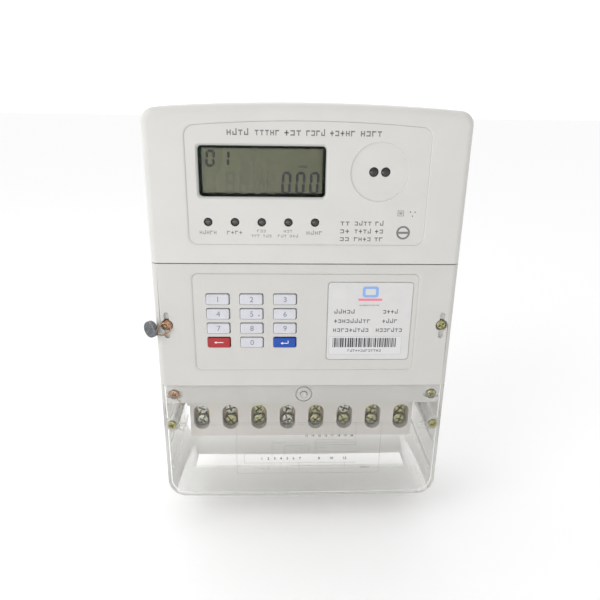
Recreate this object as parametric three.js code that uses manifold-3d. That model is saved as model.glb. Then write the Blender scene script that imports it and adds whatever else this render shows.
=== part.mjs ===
// Three-phase prepaid electricity meter with keypad, millimetres, +Z up.
// The back rests on the wall plane Y = 0 and the front looks along -Y. The origin is
// the middle of the back face. Outlines are drawn in X and Z, and depths are given as
// distances behind the front face.
import * as THREE from 'three';
import { mergeVertices } from 'three/addons/utils/BufferGeometryUtils.js';
import Module from 'manifold-3d';

const wasm = await Module();
wasm.setup();

// ---- driving dimensions ----

// overall form shared by the three front covers
const width = 177;
const height = 249;
const depth = 78;
const edgeRadius = 4; // rounding between the front face and the sides
const topCornerRadius = 7;
const bottomCornerRadius = 12;
const topArch = 3; // rise of the top edge at its middle
const bottomArch = 1;
const wall = 2.4; // opaque mouldings
const clearWall = 2; // clear terminal cover
const fitGap = 0.3; // clearance between parts that seat on each other
const seamGap = 0.5; // visible joint between neighbouring covers
const throughCut = 5; // how far a cutting shape runs past the surface it cuts
const lap = 0.5; // how far joined shapes run into each other

// heights of the three front zones, from the top
const upperZoneHeight = 86.3;
const keypadZoneHeight = 78.1;

// case
const rearCaseDepth = 30;
const rearCaseInset = 1.2;
const deckDepth = 12; // keypad deck, behind the front face
const bandDepth = 5; // case-screw band, behind the front face
const bandHeight = 15.1;
const panelMargin = 22;
const panelRecess = 0.5;
const upperPanelTopMargin = 8;
const upperPanelBottomMargin = 11.85;
const panelCornerRadius = 5;
const boardPostDiameter = 5;

// display
const displayOffset = 7.3; // from the panel's left edge to the window
const displayWidth = 68.7;
const displayHeight = 27;
const displayBottom = 37.7; // above the upper seam
const displayCornerRadius = 2;
const displayWindowStep = 1; // window face behind the front face
const displayFlange = 2;
const displayFlangeThickness = 1.5;
const displayPanelMargin = 1.4;
const displayPanelThickness = 2.6;

// indicator lamps
const lampCount = 5;
const lampPitch = 14.84;
const lampDiameter = 4.8;
const lampOffset = 11.5; // first lamp from the panel's left edge
const lampHeight = 23.6; // above the upper seam
const lampStep = 0.9; // lamp face behind the front face
const lightBarHeight = 7;
const lightBarThickness = 2.4;
const lightBarOverhang = 1;

// optical port
const portOffset = 27.4; // from the panel's right edge
const portHeight = 51.6; // above the upper seam
const portRingDiameter = 32;
const portEyeSpacing = 6.5;
const portEyeDiameter = 5.2;
const portRecess = 0.4;
const portLensDiameter = 13;
const portPlateDiameter = 31;
const portPlateThickness = 2;

// keypad
const keyColumns = 3;
const keyRows = 4;
const keyPitchX = 19.6;
const keyPitchZ = 9.13;
const keyHoleWidth = 13.9;
const keyHoleHeight = 7;
const keyCornerRadius = 1.3;
const keyLeftOffset = 15.2; // first column from the panel's left edge
const keyTopOffset = 21.8; // first row below the upper seam
const keySideClearance = 0.35;
const keyProud = 0.5;
const keyFlangeLip = 0.65;
const keyFlangeThickness = 1;
const keyTravel = 1;
const keyStemWidth = 6;
const keyStemHeight = 3.6;
const keypadMatThickness = 1.2;
const keypadMatMargin = 3;
const keypadBoardThickness = 1.2;
const keypadPanelTopMargin = 7.6;
const keypadPanelBottomMargin = 11.3;

// rating label
const labelWidth = 49.5;
const labelHeight = 49;
const labelThickness = 0.25;
const labelRightOffset = 3.8; // from the panel's right edge
const labelTopOffset = 11.5; // below the upper seam
const labelRecess = 0.5;
const labelCornerRadius = 0.5;

// fasteners
const coverScrewInset = 6.8; // keypad-cover screws from the side
const coverScrewDrop = 38.2; // below the upper seam
const coverScrewHead = 6.2;
const coverScrewShank = 3;
const coverScrewHeadDepth = 1; // head face behind the front face
const coverScrewReach = 6; // tip behind the deck's face
const coverBossProud = 3; // boss in front of the deck
const coverSlotWidth = 3.4;
const coverSlotHeight = 17;
const coverSlotDepth = 1.6;
const screwHeadClearance = 0.5;
const screwHeadThickness = 2;
const screwTipRoom = 2;
const bossWall = 2.2;
const caseScrewInset = 7.3;
const caseScrewDrop = 9; // below the lower seam
const caseScrewHead = 6;
const caseScrewEyeWidth = 10.6;
const caseScrewEyeHeight = 5;
const caseScrewEyeDepth = 1.4;
const caseScrewSeatDepth = 1; // head's seat behind the eye's floor
const terminalScrewInset = 5.5;
const terminalScrewDrop = 28.4; // below the lower seam
const terminalScrewHead = 6.6;
const terminalScrewShank = 3.6;
const terminalScrewGrip = 10; // length held in the rear case column
const terminalScrewHeadDepth = 0.4;
const terminalBossDepth = 30;
const terminalHeadBossDepth = 7;

// terminal block
const terminalCount = 8;
const blockFaceDepth = 28;
const blockSideMargin = 12.4; // from the meter's side to the block's side
const blockHeight = 39;
const blockCornerRadius = 1.5;
const blockEndMargin = 7.7; // last terminal centre to the block's side
const wellWidth = 10.5;
const wellHeight = 18.5;
const wellBottomMargin = 5.6; // block's bottom edge to the wells
const wellDepth = 7;
const clampWidth = 9.6;
const clampHeight = 25;
const clampDepth = 12;
const clampBottomMargin = 4;
const cableBore = 7.6;
const cableStop = 3; // solid metal above the bore's end
const cableEntry = 8.6;
const clampTabWidth = 6;
const clampTabThickness = 3;
const clampTabReach = 8; // tab end above the block's top
const clampScrewHead = 8.4;
const clampScrewHeadThickness = 3;
const clampScrewShank = 5;
const clampScrewSpacing = 9.2;

// terminal cover
const cableSlotWidth = 150;
const cableSlotDepth = 16;
const cableSlotFront = 33; // slot's near edge behind the front face
const coverRearGap = 1.5;
const sideRibDrops = [44, 64]; // below the lower seam
const sideRibHeight = 1.6;
const sideRibReach = 1.8;
const sideRibEndMargin = 4;
const sealEyeWidth = 6.4;
const sealEyeHeight = 4.6;
const sealEyeRim = 1.2;
const sealEyeProud = 1.2;

// cover-open switch
const switchRecessDiameter = 11;
const switchRecessDepth = 1.2;
const switchButtonDiameter = 4;
const switchFlangeLip = 1.2;
const switchFlangeThickness = 1;
const switchStem = 2; // behind the flange's face
const switchPipDiameter = 3; // on the terminal cover, closing the switch
const switchProud = 1.4;

// fixing to the wall
const fixingHoleDiameter = 6.2;
const earThickness = 5;
const earHeight = 42;
const fixingHoleRise = 9; // above the ear's lower edge
const hookWidth = 24;
const hookTravel = 18; // upwards, out of the case back
const hookGrip = 16; // length that stays in its channel
const hookThickness = 1.8;
const hookTopInset = 2.4;
const hookHoleDiameter = 6;
const hookHoleDrop = 15;
const hookNeckWidth = 3.4;
const hookNeckRise = 7; // neck's end above the hole's centre
const hookLip = 0.9;
const hookLipWidth = 2.4;

// seal
const sealDiameter = 10;
const sealThickness = 3.5;
const sealTurn = 40; // degrees, the seal's face turned outwards
const sealStandoff = 2.4; // seal centre outside the meter's side
const sealWireDiameter = 0.9;
const sealDrop = 2;

// inside the case
const boardThickness = 1.6;
const mainBoardDepth = 15; // board's front behind the front face
const mainBoardMargin = 9;
const relayWidth = 84;
const relayHeight = 34;
const relayDepth = 24;
const relayRise = 6; // above the clamp tabs
const relayStandoff = 3;
const relayRibWidth = 1.6;
const relayRibProud = 1.2;
const relayRibInset = 3;
const boardPostInset = 5;

// ---- derived places ----

const halfWidth = width / 2;
const top = height / 2;
const bottom = -height / 2;
const front = -depth;
const upperSeam = top - upperZoneHeight;
const lowerSeam = upperSeam - keypadZoneHeight;
const panelHalf = halfWidth - panelMargin;
const lowerHalf = halfWidth - clearWall - 2 * fitGap; // case inside the terminal cover
const bandBottom = lowerSeam - bandHeight;
const caseSplit = -rearCaseDepth;
const deckFace = front + deckDepth;
const bandFace = front + bandDepth;
const blockFace = front + blockFaceDepth;
const blockHalf = halfWidth - blockSideMargin;
const blockTop = bandBottom - fitGap;
const blockBottom = blockTop - blockHeight;
const terminalPitch = 2 * (blockHalf - blockEndMargin) / (terminalCount - 1);
const wellMiddle = blockBottom + wellBottomMargin + wellHeight / 2;
const clampFront = blockFace + wellDepth;
const clampBottom = blockBottom + clampBottomMargin;
const clampTop = clampBottom + clampHeight;
const boreY = clampFront + clampDepth / 2;
const tabY = boreY + cableBore / 2;
const terminalScrewX = halfWidth - terminalScrewInset;
const terminalScrewZ = lowerSeam - terminalScrewDrop;
const coverScrewX = halfWidth - coverScrewInset;
const coverScrewZ = upperSeam - coverScrewDrop;
const caseScrewX = halfWidth - caseScrewInset;
const caseScrewZ = lowerSeam - caseScrewDrop;
const switchZ = (lowerSeam + bandBottom) / 2 - switchProud;
const portX = panelHalf - portOffset;
const portZ = upperSeam + portHeight;
const displayLeft = -panelHalf + displayOffset;
const displayMiddleX = displayLeft + displayWidth / 2;
const displayMiddleZ = upperSeam + displayBottom + displayHeight / 2;
const lampZ = upperSeam + lampHeight;
const lampXs = Array.from({ length: lampCount }, (_, i) => -panelHalf + lampOffset + i * lampPitch);
const terminalXs = Array.from({ length: terminalCount },
  (_, i) => (i - (terminalCount - 1) / 2) * terminalPitch);
const upperPanelFace = front + panelRecess;
const faceInside = front + wall;
const faceSeat = faceInside + fitGap; // front of what seats behind the face
const hookHeight = hookTravel + hookGrip;
const labelMiddleX = panelHalf - labelRightOffset - labelWidth / 2;
const labelMiddleZ = upperSeam - labelTopOffset - labelHeight / 2;
const labelFace = upperPanelFace + labelRecess;

// ---- solids ----

function solidOf(geometry) {
  geometry.deleteAttribute('normal');
  geometry.deleteAttribute('uv');
  const merged = mergeVertices(geometry, 1e-4);
  return new wasm.Manifold(new wasm.Mesh({
    numProp: 3,
    vertProperties: new Float32Array(merged.attributes.position.array),
    triVerts: new Uint32Array(merged.index.array),
  }));
}

function join(first, ...others) {
  return others.reduce((sum, other) => sum.add(other), first);
}

function cut(first, ...others) {
  return others.reduce((rest, other) => rest.subtract(other), first);
}

function box(x0, x1, y0, y1, z0, z1) {
  const geometry = new THREE.BoxGeometry(x1 - x0, Math.abs(y1 - y0), z1 - z0);
  geometry.translate((x0 + x1) / 2, (y0 + y1) / 2, (z0 + z1) / 2);
  return solidOf(geometry);
}

// An outline in X and Z, pushed from yBack forward to yFront.
function plate(shape, yBack, yFront, curveSegments = 2) {
  const geometry = new THREE.ExtrudeGeometry(shape, {
    depth: yBack - yFront, bevelEnabled: false, curveSegments,
  });
  geometry.rotateX(Math.PI / 2);
  geometry.translate(0, yBack, 0);
  return solidOf(geometry);
}

// The same with its front edge rounded; the rounded back edge lies past yBack and is cut off.
function roundedPlate(shape, yBack, yFront, radius, segments) {
  const geometry = new THREE.ExtrudeGeometry(shape, {
    depth: yBack - yFront, bevelEnabled: true, bevelSize: radius, bevelThickness: radius,
    bevelOffset: -radius, bevelSegments: segments, curveSegments: 2,
  });
  geometry.rotateX(Math.PI / 2);
  geometry.translate(0, yBack + radius, 0);
  const behind = box(-2 * width, 2 * width, yBack, yBack + 3 * radius, -2 * height, 2 * height);
  return cut(solidOf(geometry), behind);
}

// A round bar along Y.
function rod(diameter, x, z, yBack, yFront, segments = 10) {
  const geometry = new THREE.CylinderGeometry(diameter / 2, diameter / 2, yBack - yFront, segments);
  geometry.translate(x, (yBack + yFront) / 2, z);
  return solidOf(geometry);
}

// A round bar along Z.
function upright(diameter, x, y, zLow, zHigh, segments = 10) {
  const geometry = new THREE.CylinderGeometry(diameter / 2, diameter / 2, zHigh - zLow, segments);
  geometry.rotateX(Math.PI / 2);
  geometry.translate(x, y, (zLow + zHigh) / 2);
  return solidOf(geometry);
}

function roundedRect(x, z, w, h, r) {
  const shape = new THREE.Shape();
  const [hw, hh] = [w / 2, h / 2];
  shape.moveTo(x - hw + r, z - hh);
  shape.lineTo(x + hw - r, z - hh);
  shape.absarc(x + hw - r, z - hh + r, r, -Math.PI / 2, 0);
  shape.lineTo(x + hw, z + hh - r);
  shape.absarc(x + hw - r, z + hh - r, r, 0, Math.PI / 2);
  shape.lineTo(x - hw + r, z + hh);
  shape.absarc(x - hw + r, z + hh - r, r, Math.PI / 2, Math.PI);
  shape.lineTo(x - hw, z - hh + r);
  shape.absarc(x - hw + r, z - hh + r, r, Math.PI, 1.5 * Math.PI);
  return shape;
}

// A rounded rectangle whose top and bottom edges are shallow arches.
function archedOutline(half, zLow, zHigh, lowRadius, highRadius, lowArch, highArch) {
  const points = [];
  const cornerSteps = 4;
  const edgeSteps = 6;
  const corner = (cx, cz, r, from) => {
    for (let i = 0; i <= cornerSteps; i += 1) {
      const angle = from + (i / cornerSteps) * Math.PI / 2;
      points.push([cx + r * Math.cos(angle), cz + r * Math.sin(angle)]);
    }
  };
  const edge = (xFrom, xTo, z) => {
    for (let i = 1; i < edgeSteps; i += 1) points.push([xFrom + (xTo - xFrom) * i / edgeSteps, z]);
  };
  corner(half - lowRadius, zLow + lowRadius, lowRadius, -Math.PI / 2);
  corner(half - highRadius, zHigh - highRadius, highRadius, 0);
  edge(half - highRadius, -half + highRadius, zHigh);
  corner(-half + highRadius, zHigh - highRadius, highRadius, Math.PI / 2);
  corner(-half + lowRadius, zLow + lowRadius, lowRadius, Math.PI);
  edge(-half + lowRadius, half - lowRadius, zLow);
  const middle = (zLow + zHigh) / 2;
  const bent = points.map(([x, z]) => {
    const share = (x / half) ** 2;
    return new THREE.Vector2(x, z > middle ? z - highArch * share : z + lowArch * share);
  });
  return new THREE.Shape(bent);
}

// The meter's outer form, shrunk by an inset all round.
function bodyOutline(inset) {
  return archedOutline(halfWidth - inset, bottom + inset, top - inset,
    bottomCornerRadius - inset, topCornerRadius - inset, bottomArch, topArch);
}

function bodyForm(inset, yBack, yFront) {
  return roundedPlate(bodyOutline(inset), yBack, yFront, edgeRadius - inset, 2);
}

// Everything between two heights.
function slice(solid, zLow, zHigh) {
  const far = 2 * width;
  return solid.intersect(box(-far, far, -far, far, zLow, zHigh));
}

// A slot with fully round ends, along X where it is wider than high.
function slot(x, z, w, h, yBack, yFront) {
  const r = Math.min(w, h) / 2;
  const [dx, dz] = [w / 2 - r, h / 2 - r];
  const turn = w > h ? 0 : Math.PI / 2;
  const shape = new THREE.Shape();
  shape.absarc(x + dx, z + dz, r, turn - Math.PI / 2, turn + Math.PI / 2);
  shape.absarc(x - dx, z - dz, r, turn + Math.PI / 2, turn + 1.5 * Math.PI);
  return plate(shape, yBack, yFront, 6);
}

// ---- assembly helpers ----

const meter = new THREE.Group();

function finish(color, roughness, metalness = 0, extra = {}) {
  return { color, roughness, metalness, ...extra };
}

const coverPlastic = finish(0xe2e1dc, 0.45);
const keypadPlastic = finish(0xd8d7d2, 0.45);
const clearPlastic = finish(0xe8ecec, 0.08, 0, { transparent: true, opacity: 0.3 });
const basePlastic = finish(0xd9d8d2, 0.5);
const zinc = finish(0xb4ad7c, 0.35, 1);
const brass = finish(0xb99b57, 0.35, 1);
const boardGreen = finish(0x2f6b3f, 0.6);

function add(name, solid, look) {
  const { numProp, vertProperties, triVerts } = solid.getMesh();
  const geometry = new THREE.BufferGeometry();
  const position = new Float32Array(vertProperties.length / numProp * 3);
  for (let i = 0; i < position.length / 3; i += 1) {
    for (let k = 0; k < 3; k += 1) position[3 * i + k] = vertProperties[numProp * i + k];
  }
  geometry.setAttribute('position', new THREE.BufferAttribute(position, 3));
  geometry.setIndex(new THREE.BufferAttribute(new Uint32Array(triVerts), 1));
  geometry.computeVertexNormals();
  const mesh = new THREE.Mesh(geometry, new THREE.MeshStandardMaterial(look));
  mesh.name = name;
  meter.add(mesh);
}

const sides = [['left', -1], ['right', 1]];

// ---- case ----

function fixingEar(side) {
  const inner = side * (blockHalf + fitGap);
  const outer = side * lowerHalf;
  const [x0, x1] = [Math.min(inner, outer), Math.max(inner, outer)];
  return box(x0, x1, 0, -earThickness, bandBottom - earHeight, bandBottom + wall);
}

function terminalColumn(side) {
  const columnFront = front + terminalBossDepth + fitGap;
  const column = rod(terminalScrewShank + 2 * bossWall, side * terminalScrewX, terminalScrewZ,
    0, columnFront);
  return cut(column, outside(lowerHalf - fitGap));
}

function rearCase() {
  const shell = slice(plate(bodyOutline(rearCaseInset), 0, caseSplit), lowerSeam, top);
  const narrow = box(-lowerHalf, lowerHalf, 0, caseSplit, bandBottom, lowerSeam + wall);
  const inside = slice(plate(bodyOutline(rearCaseInset + wall), -wall, caseSplit - throughCut),
    lowerSeam + wall, top);
  const narrowInside = box(-lowerHalf + wall, lowerHalf - wall, -wall, caseSplit - throughCut,
    bandBottom + wall, lowerSeam + 2 * wall);
  const backPlate = box(-blockHalf - lap, blockHalf + lap, 0, -wall, blockBottom, bandBottom + lap);
  const hookZ = hookSpan();
  const hookPad = box(-hookWidth / 2 - wall, hookWidth / 2 + wall, -wall, -wall - hookLip - hookThickness,
    hookZ.low - wall, top - rearCaseInset - topArch);
  let solid = cut(join(shell, narrow), inside, narrowInside);
  solid = join(solid, backPlate, hookPad);
  for (const [, side] of sides) solid = join(solid, fixingEar(side), terminalColumn(side));
  const slide = hookWidth / 2 + fitGap;
  const mouth = hookWidth / 2 - hookLipWidth;
  const channelFloor = -hookLip - hookThickness - 2 * fitGap;
  solid = cut(solid,
    box(-slide, slide, -hookLip, channelFloor, hookZ.low - fitGap, top + throughCut),
    box(-mouth, mouth, throughCut, channelFloor, hookZ.low - fitGap, top + throughCut));
  for (const [, side] of sides) {
    const x = side * (blockHalf + lowerHalf + fitGap) / 2;
    solid = cut(solid,
      rod(fixingHoleDiameter, x, bandBottom - earHeight + fixingHoleRise, throughCut,
        -earThickness - throughCut),
      rod(terminalScrewShank + 2 * fitGap, side * terminalScrewX, terminalScrewZ,
        front + terminalBossDepth + terminalScrewGrip + screwTipRoom, front));
  }
  return solid;
}

function hookSpan() {
  const high = top - topArch / 2 - rearCaseInset - hookTopInset;
  return { low: high - hookHeight, high };
}

function hangingHook() {
  const { low, high } = hookSpan();
  const outline = roundedRect(0, (low + high) / 2, hookWidth, hookHeight, 2);
  const back = -hookLip - fitGap;
  const holeZ = high - hookHoleDrop;
  const past = back - hookThickness - throughCut;
  return cut(plate(outline, back, back - hookThickness),
    rod(hookHoleDiameter, 0, holeZ, throughCut, past, 16),
    slot(0, holeZ + hookNeckRise / 2, hookNeckWidth, hookNeckRise, throughCut, past));
}

function portPanelCuts() {
  const cuts = [];
  for (const side of [-1, 1]) {
    cuts.push(rod(portEyeDiameter, portX + side * portEyeSpacing / 2, portZ,
      faceInside + throughCut, front - throughCut, 12));
  }
  cuts.push(rod(portRingDiameter, portX, portZ, upperPanelFace + portRecess, front - throughCut, 32));
  return cuts;
}

function frontCase() {
  const yBack = caseSplit - fitGap;
  const upper = slice(bodyForm(0, yBack, front), upperSeam, top);
  const middle = slice(plate(bodyOutline(0), yBack, deckFace), lowerSeam, upperSeam + lap);
  const band = box(-lowerHalf, lowerHalf, yBack, bandFace, bandBottom, lowerSeam - seamGap);
  const neck = box(-lowerHalf, lowerHalf, yBack, deckFace, bandBottom, lowerSeam + wall);
  let solid = join(upper, middle, band, neck);
  const upperRoom = slice(bodyForm(wall, yBack + throughCut, faceInside), upperSeam + wall, top);
  const middleRoom = slice(plate(bodyOutline(wall), yBack + throughCut, deckFace + wall),
    lowerSeam + wall, upperSeam + 2 * wall);
  const bandRoom = box(-lowerHalf + wall, lowerHalf - wall, yBack + throughCut, bandFace + wall,
    bandBottom + wall, lowerSeam - seamGap - wall);
  const bandThroat = box(-lowerHalf + wall, lowerHalf - wall, yBack + throughCut, deckFace + wall,
    bandBottom + wall, lowerSeam + 2 * wall);
  solid = cut(solid, upperRoom, middleRoom, bandRoom, bandThroat);
  return withFrontFeatures(solid);
}

function upperPanelOutline() {
  const zLow = upperSeam + upperPanelBottomMargin;
  return archedOutline(panelHalf, zLow, top - upperPanelTopMargin, panelCornerRadius,
    panelCornerRadius, 0, topArch);
}

function withFrontFeatures(caseSolid) {
  let solid = caseSolid;
  for (const [x, z] of boardCorners()) {
    solid = join(solid, rod(boardPostDiameter, x, z, front + mainBoardDepth - fitGap, faceInside - lap));
  }
  for (const [, side] of sides) {
    solid = join(solid, coverScrewBoss(side));
    solid = join(solid, rod(caseScrewHead + bossWall, side * caseScrewX, caseScrewZ,
      bandFace + caseScrewEyeDepth + 2 * wall, bandFace + wall / 2)
      .subtract(outside(lowerHalf)));
  }
  const cuts = [
    plate(upperPanelOutline(), upperPanelFace, front - throughCut),
    plate(roundedRect(displayMiddleX, displayMiddleZ, displayWidth, displayHeight,
      displayCornerRadius), faceInside + throughCut, front - throughCut),
    ...lampXs.map((x) => rod(lampDiameter, x, lampZ, faceInside + throughCut, front - throughCut, 12)),
    ...portPanelCuts(),
    rod(switchRecessDiameter, 0, switchZ, bandFace + switchRecessDepth, front, 20),
    rod(switchButtonDiameter + 2 * fitGap, 0, switchZ, bandFace + 2 * wall, front, 12),
  ];
  for (const [, side] of sides) {
    cuts.push(
      rod(coverScrewShank + 2 * fitGap, side * coverScrewX, coverScrewZ,
        deckFace + coverScrewReach + throughCut, front),
      slot(side * caseScrewX, caseScrewZ, caseScrewEyeWidth, caseScrewEyeHeight,
        bandFace + caseScrewEyeDepth, front),
      rod(caseScrewHead + 2 * screwHeadClearance, side * caseScrewX, caseScrewZ,
        bandFace + caseScrewEyeDepth + caseScrewSeatDepth, front, 12),
      rod(coverScrewShank + 2 * fitGap, side * caseScrewX, caseScrewZ,
        bandFace + caseScrewEyeDepth + 4 * wall, front));
  }
  for (const x of terminalXs) {
    cuts.push(box(x - clampTabWidth / 2 - fitGap, x + clampTabWidth / 2 + fitGap,
      tabY + clampTabThickness, tabY - clampTabThickness, bandBottom - lap, bandBottom + wall + lap));
  }
  return cut(solid, ...cuts);
}

// What lies outside a half width, to trim a boss that stands at a side wall.
function outside(half) {
  return join(box(half, 2 * width, depth, -2 * depth, -height, height),
    box(-2 * width, -half, depth, -2 * depth, -height, height));
}

function coverScrewBoss(side) {
  return rod(coverScrewShank + 2 * bossWall, side * coverScrewX, coverScrewZ,
    deckFace + coverScrewReach, deckFace - coverBossProud);
}

// ---- display, lamps and port ----

function displayWindow() {
  const frontPart = roundedRect(displayMiddleX, displayMiddleZ, displayWidth - 2 * fitGap,
    displayHeight - 2 * fitGap, displayCornerRadius - fitGap);
  const flange = roundedRect(displayMiddleX, displayMiddleZ, displayWidth + 2 * displayFlange,
    displayHeight + 2 * displayFlange, displayCornerRadius);
  return join(plate(frontPart, faceSeat + lap, front + displayWindowStep),
    plate(flange, faceSeat + displayFlangeThickness, faceSeat));
}

function displayPanel() {
  const face = faceSeat + displayFlangeThickness + fitGap;
  return plate(roundedRect(displayMiddleX, displayMiddleZ, displayWidth - 2 * displayPanelMargin,
    displayHeight - 2 * displayPanelMargin, displayCornerRadius - displayPanelMargin),
  face + displayPanelThickness, face);
}

function lightGuide() {
  const length = (lampCount - 1) * lampPitch + lampDiameter + 2 * lightBarOverhang;
  const middle = lampXs[0] + (lampCount - 1) * lampPitch / 2;
  const bar = plate(roundedRect(middle, lampZ, length, lightBarHeight, lightBarOverhang),
    faceSeat + lightBarThickness, faceSeat);
  const pins = lampXs.map((x) => rod(lampDiameter - 2 * fitGap, x, lampZ, faceSeat + lap,
    front + lampStep));
  return join(bar, ...pins);
}

function opticalPlate() {
  return cut(rod(portPlateDiameter, portX, portZ, faceSeat + portPlateThickness, faceSeat, 24),
    rod(portLensDiameter, portX, portZ, 0, front, 16));
}

function opticalLens() {
  const face = upperPanelFace + portRecess + fitGap;
  const disc = rod(portLensDiameter - 2 * fitGap, portX, portZ, faceSeat + portPlateThickness,
    faceSeat, 16);
  const eyes = [-1, 1].map((side) => rod(portEyeDiameter - 2 * fitGap,
    portX + side * portEyeSpacing / 2, portZ, faceSeat + lap, face, 12));
  return join(disc, ...eyes);
}

// ---- keypad ----

function keyPlaces() {
  const places = [];
  const names = ['1', '2', '3', '4', '5', '6', '7', '8', '9', 'delete', '0', 'enter'];
  for (let row = 0; row < keyRows; row += 1) {
    for (let column = 0; column < keyColumns; column += 1) {
      places.push({
        name: `key_${names[row * keyColumns + column]}`,
        x: -panelHalf + keyLeftOffset + column * keyPitchX,
        z: upperSeam - keyTopOffset - row * keyPitchZ,
      });
    }
  }
  return places;
}

function keySolid({ x, z }) {
  const face = front + panelRecess - keyProud;
  const flangeBack = faceSeat + keyFlangeThickness;
  const matFace = keypadStack().matFace;
  const cap = plate(roundedRect(x, z, keyHoleWidth - 2 * keySideClearance,
    keyHoleHeight - 2 * keySideClearance, keyCornerRadius), faceSeat + lap, face, 1);
  const flangeX = keyHoleWidth / 2 + keyFlangeLip;
  const flangeZ = keyHoleHeight / 2 + keyFlangeLip;
  const flange = box(x - flangeX, x + flangeX, flangeBack, faceSeat, z - flangeZ, z + flangeZ);
  const stem = box(x - keyStemWidth / 2, x + keyStemWidth / 2, flangeBack - lap,
    matFace - keyTravel - fitGap, z - keyStemHeight / 2, z + keyStemHeight / 2);
  return join(cap, flange, stem);
}

function keypadStack() {
  const boardBack = deckFace - fitGap;
  const boardFace = boardBack - keypadBoardThickness;
  const matBack = boardFace - fitGap;
  return { boardBack, boardFace, matBack, matFace: matBack - keypadMatThickness };
}

function keypadSheet(yBack, yFront, margin, radius) {
  const places = keyPlaces();
  const [first, last] = [places[0], places[places.length - 1]];
  const w = last.x - first.x + keyHoleWidth + 2 * margin;
  const h = first.z - last.z + keyHoleHeight + 2 * margin;
  return plate(roundedRect((first.x + last.x) / 2, (first.z + last.z) / 2, w, h, radius),
    yBack, yFront);
}

function keypadCover() {
  const yBack = deckFace - fitGap;
  const zHigh = upperSeam - seamGap;
  const outer = slice(bodyForm(0, yBack, front), lowerSeam, zHigh);
  const room = slice(bodyForm(wall, yBack + throughCut, faceInside), lowerSeam + wall, zHigh - wall);
  let solid = cut(outer, room);
  const bossFace = deckFace - coverBossProud - fitGap;
  for (const [, side] of sides) {
    solid = join(solid, rod(coverScrewHead + 2 * bossWall, side * coverScrewX, coverScrewZ,
      bossFace, faceInside - lap).subtract(outside(halfWidth - lap)));
  }
  const panelLow = lowerSeam + keypadPanelBottomMargin;
  const panelHigh = upperSeam - keypadPanelTopMargin;
  const panel = roundedRect(0, (panelLow + panelHigh) / 2, 2 * panelHalf, panelHigh - panelLow,
    panelCornerRadius);
  const cuts = [
    plate(panel, upperPanelFace, front - throughCut),
    plate(roundedRect(labelMiddleX, labelMiddleZ, labelWidth + 2 * fitGap, labelHeight + 2 * fitGap,
      labelCornerRadius + fitGap), labelFace, front - throughCut),
  ];
  for (const { x, z } of keyPlaces()) {
    cuts.push(plate(roundedRect(x, z, keyHoleWidth, keyHoleHeight, keyCornerRadius),
      faceSeat, front - throughCut, 1));
  }
  for (const [, side] of sides) {
    const x = side * coverScrewX;
    cuts.push(
      slot(x, coverScrewZ, coverSlotWidth, coverSlotHeight, front + coverSlotDepth,
        front - throughCut),
      rod(coverScrewHead + 2 * screwHeadClearance, x, coverScrewZ,
        front + coverScrewHeadDepth + screwHeadThickness + fitGap, front - throughCut, 12),
      rod(coverScrewShank + 2 * fitGap, x, coverScrewZ, deckFace, front));
  }
  return cut(solid, ...cuts);
}

function ratingLabel() {
  const back = labelFace - fitGap;
  return plate(roundedRect(labelMiddleX, labelMiddleZ, labelWidth, labelHeight,
    labelCornerRadius), back, back - labelThickness);
}

// ---- screws ----

// A pan-head screw along Y with its head face at yFace and a cross recess.
function screw(x, z, headDiameter, headThickness, shankDiameter, yFace, yTip) {
  const [r, s] = [headDiameter / 2, shankDiameter / 2];
  const length = yTip - yFace;
  const profile = [[0, length], [s, length], [s, headThickness], [r, headThickness],
    [r, headThickness * 0.35], [r * 0.8, 0], [0, 0]];
  const points = profile.map(([radius, along]) => new THREE.Vector2(radius, along));
  return solidOf(new THREE.LatheGeometry(points.reverse(), 8)).translate(x, yFace, z);
}

function terminalCoverScrew(side) {
  const yFace = front + terminalScrewHeadDepth;
  return screw(side * terminalScrewX, terminalScrewZ, terminalScrewHead, screwHeadThickness,
    terminalScrewShank, yFace, front + terminalBossDepth + terminalScrewGrip);
}

function keypadCoverScrew(side) {
  return screw(side * coverScrewX, coverScrewZ, coverScrewHead, screwHeadThickness,
    coverScrewShank, front + coverScrewHeadDepth, deckFace + coverScrewReach);
}

function caseScrew(side) {
  const yFace = bandFace + caseScrewEyeDepth + caseScrewSeatDepth - fitGap - screwHeadThickness;
  return screw(side * caseScrewX, caseScrewZ, caseScrewHead, screwHeadThickness,
    coverScrewShank, yFace, bandFace + caseScrewEyeDepth + 3 * wall);
}

// ---- terminal block and clamps ----

function terminalBlock() {
  const yBack = -wall - fitGap;
  const outline = roundedRect(0, (blockTop + blockBottom) / 2, 2 * blockHalf,
    blockHeight, blockCornerRadius);
  const solid = plate(outline, yBack, blockFace);
  const cuts = [];
  for (const x of terminalXs) {
    cuts.push(
      slot(x, wellMiddle, wellWidth, wellHeight, clampFront + lap, blockFace - throughCut),
      box(x - clampWidth / 2 - fitGap, x + clampWidth / 2 + fitGap, clampFront + clampDepth + fitGap,
        clampFront - fitGap, clampBottom - fitGap, clampTop + fitGap),
      upright(cableEntry, x, boreY, blockBottom - throughCut, clampBottom),
      box(x - clampTabWidth / 2 - fitGap, x + clampTabWidth / 2 + fitGap,
        tabY + clampTabThickness, tabY - clampTabThickness, clampTop, blockTop + throughCut));
  }
  return cut(solid, ...cuts);
}

function clampScrewZs() {
  return [wellMiddle + clampScrewSpacing / 2, wellMiddle - clampScrewSpacing / 2];
}

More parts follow.
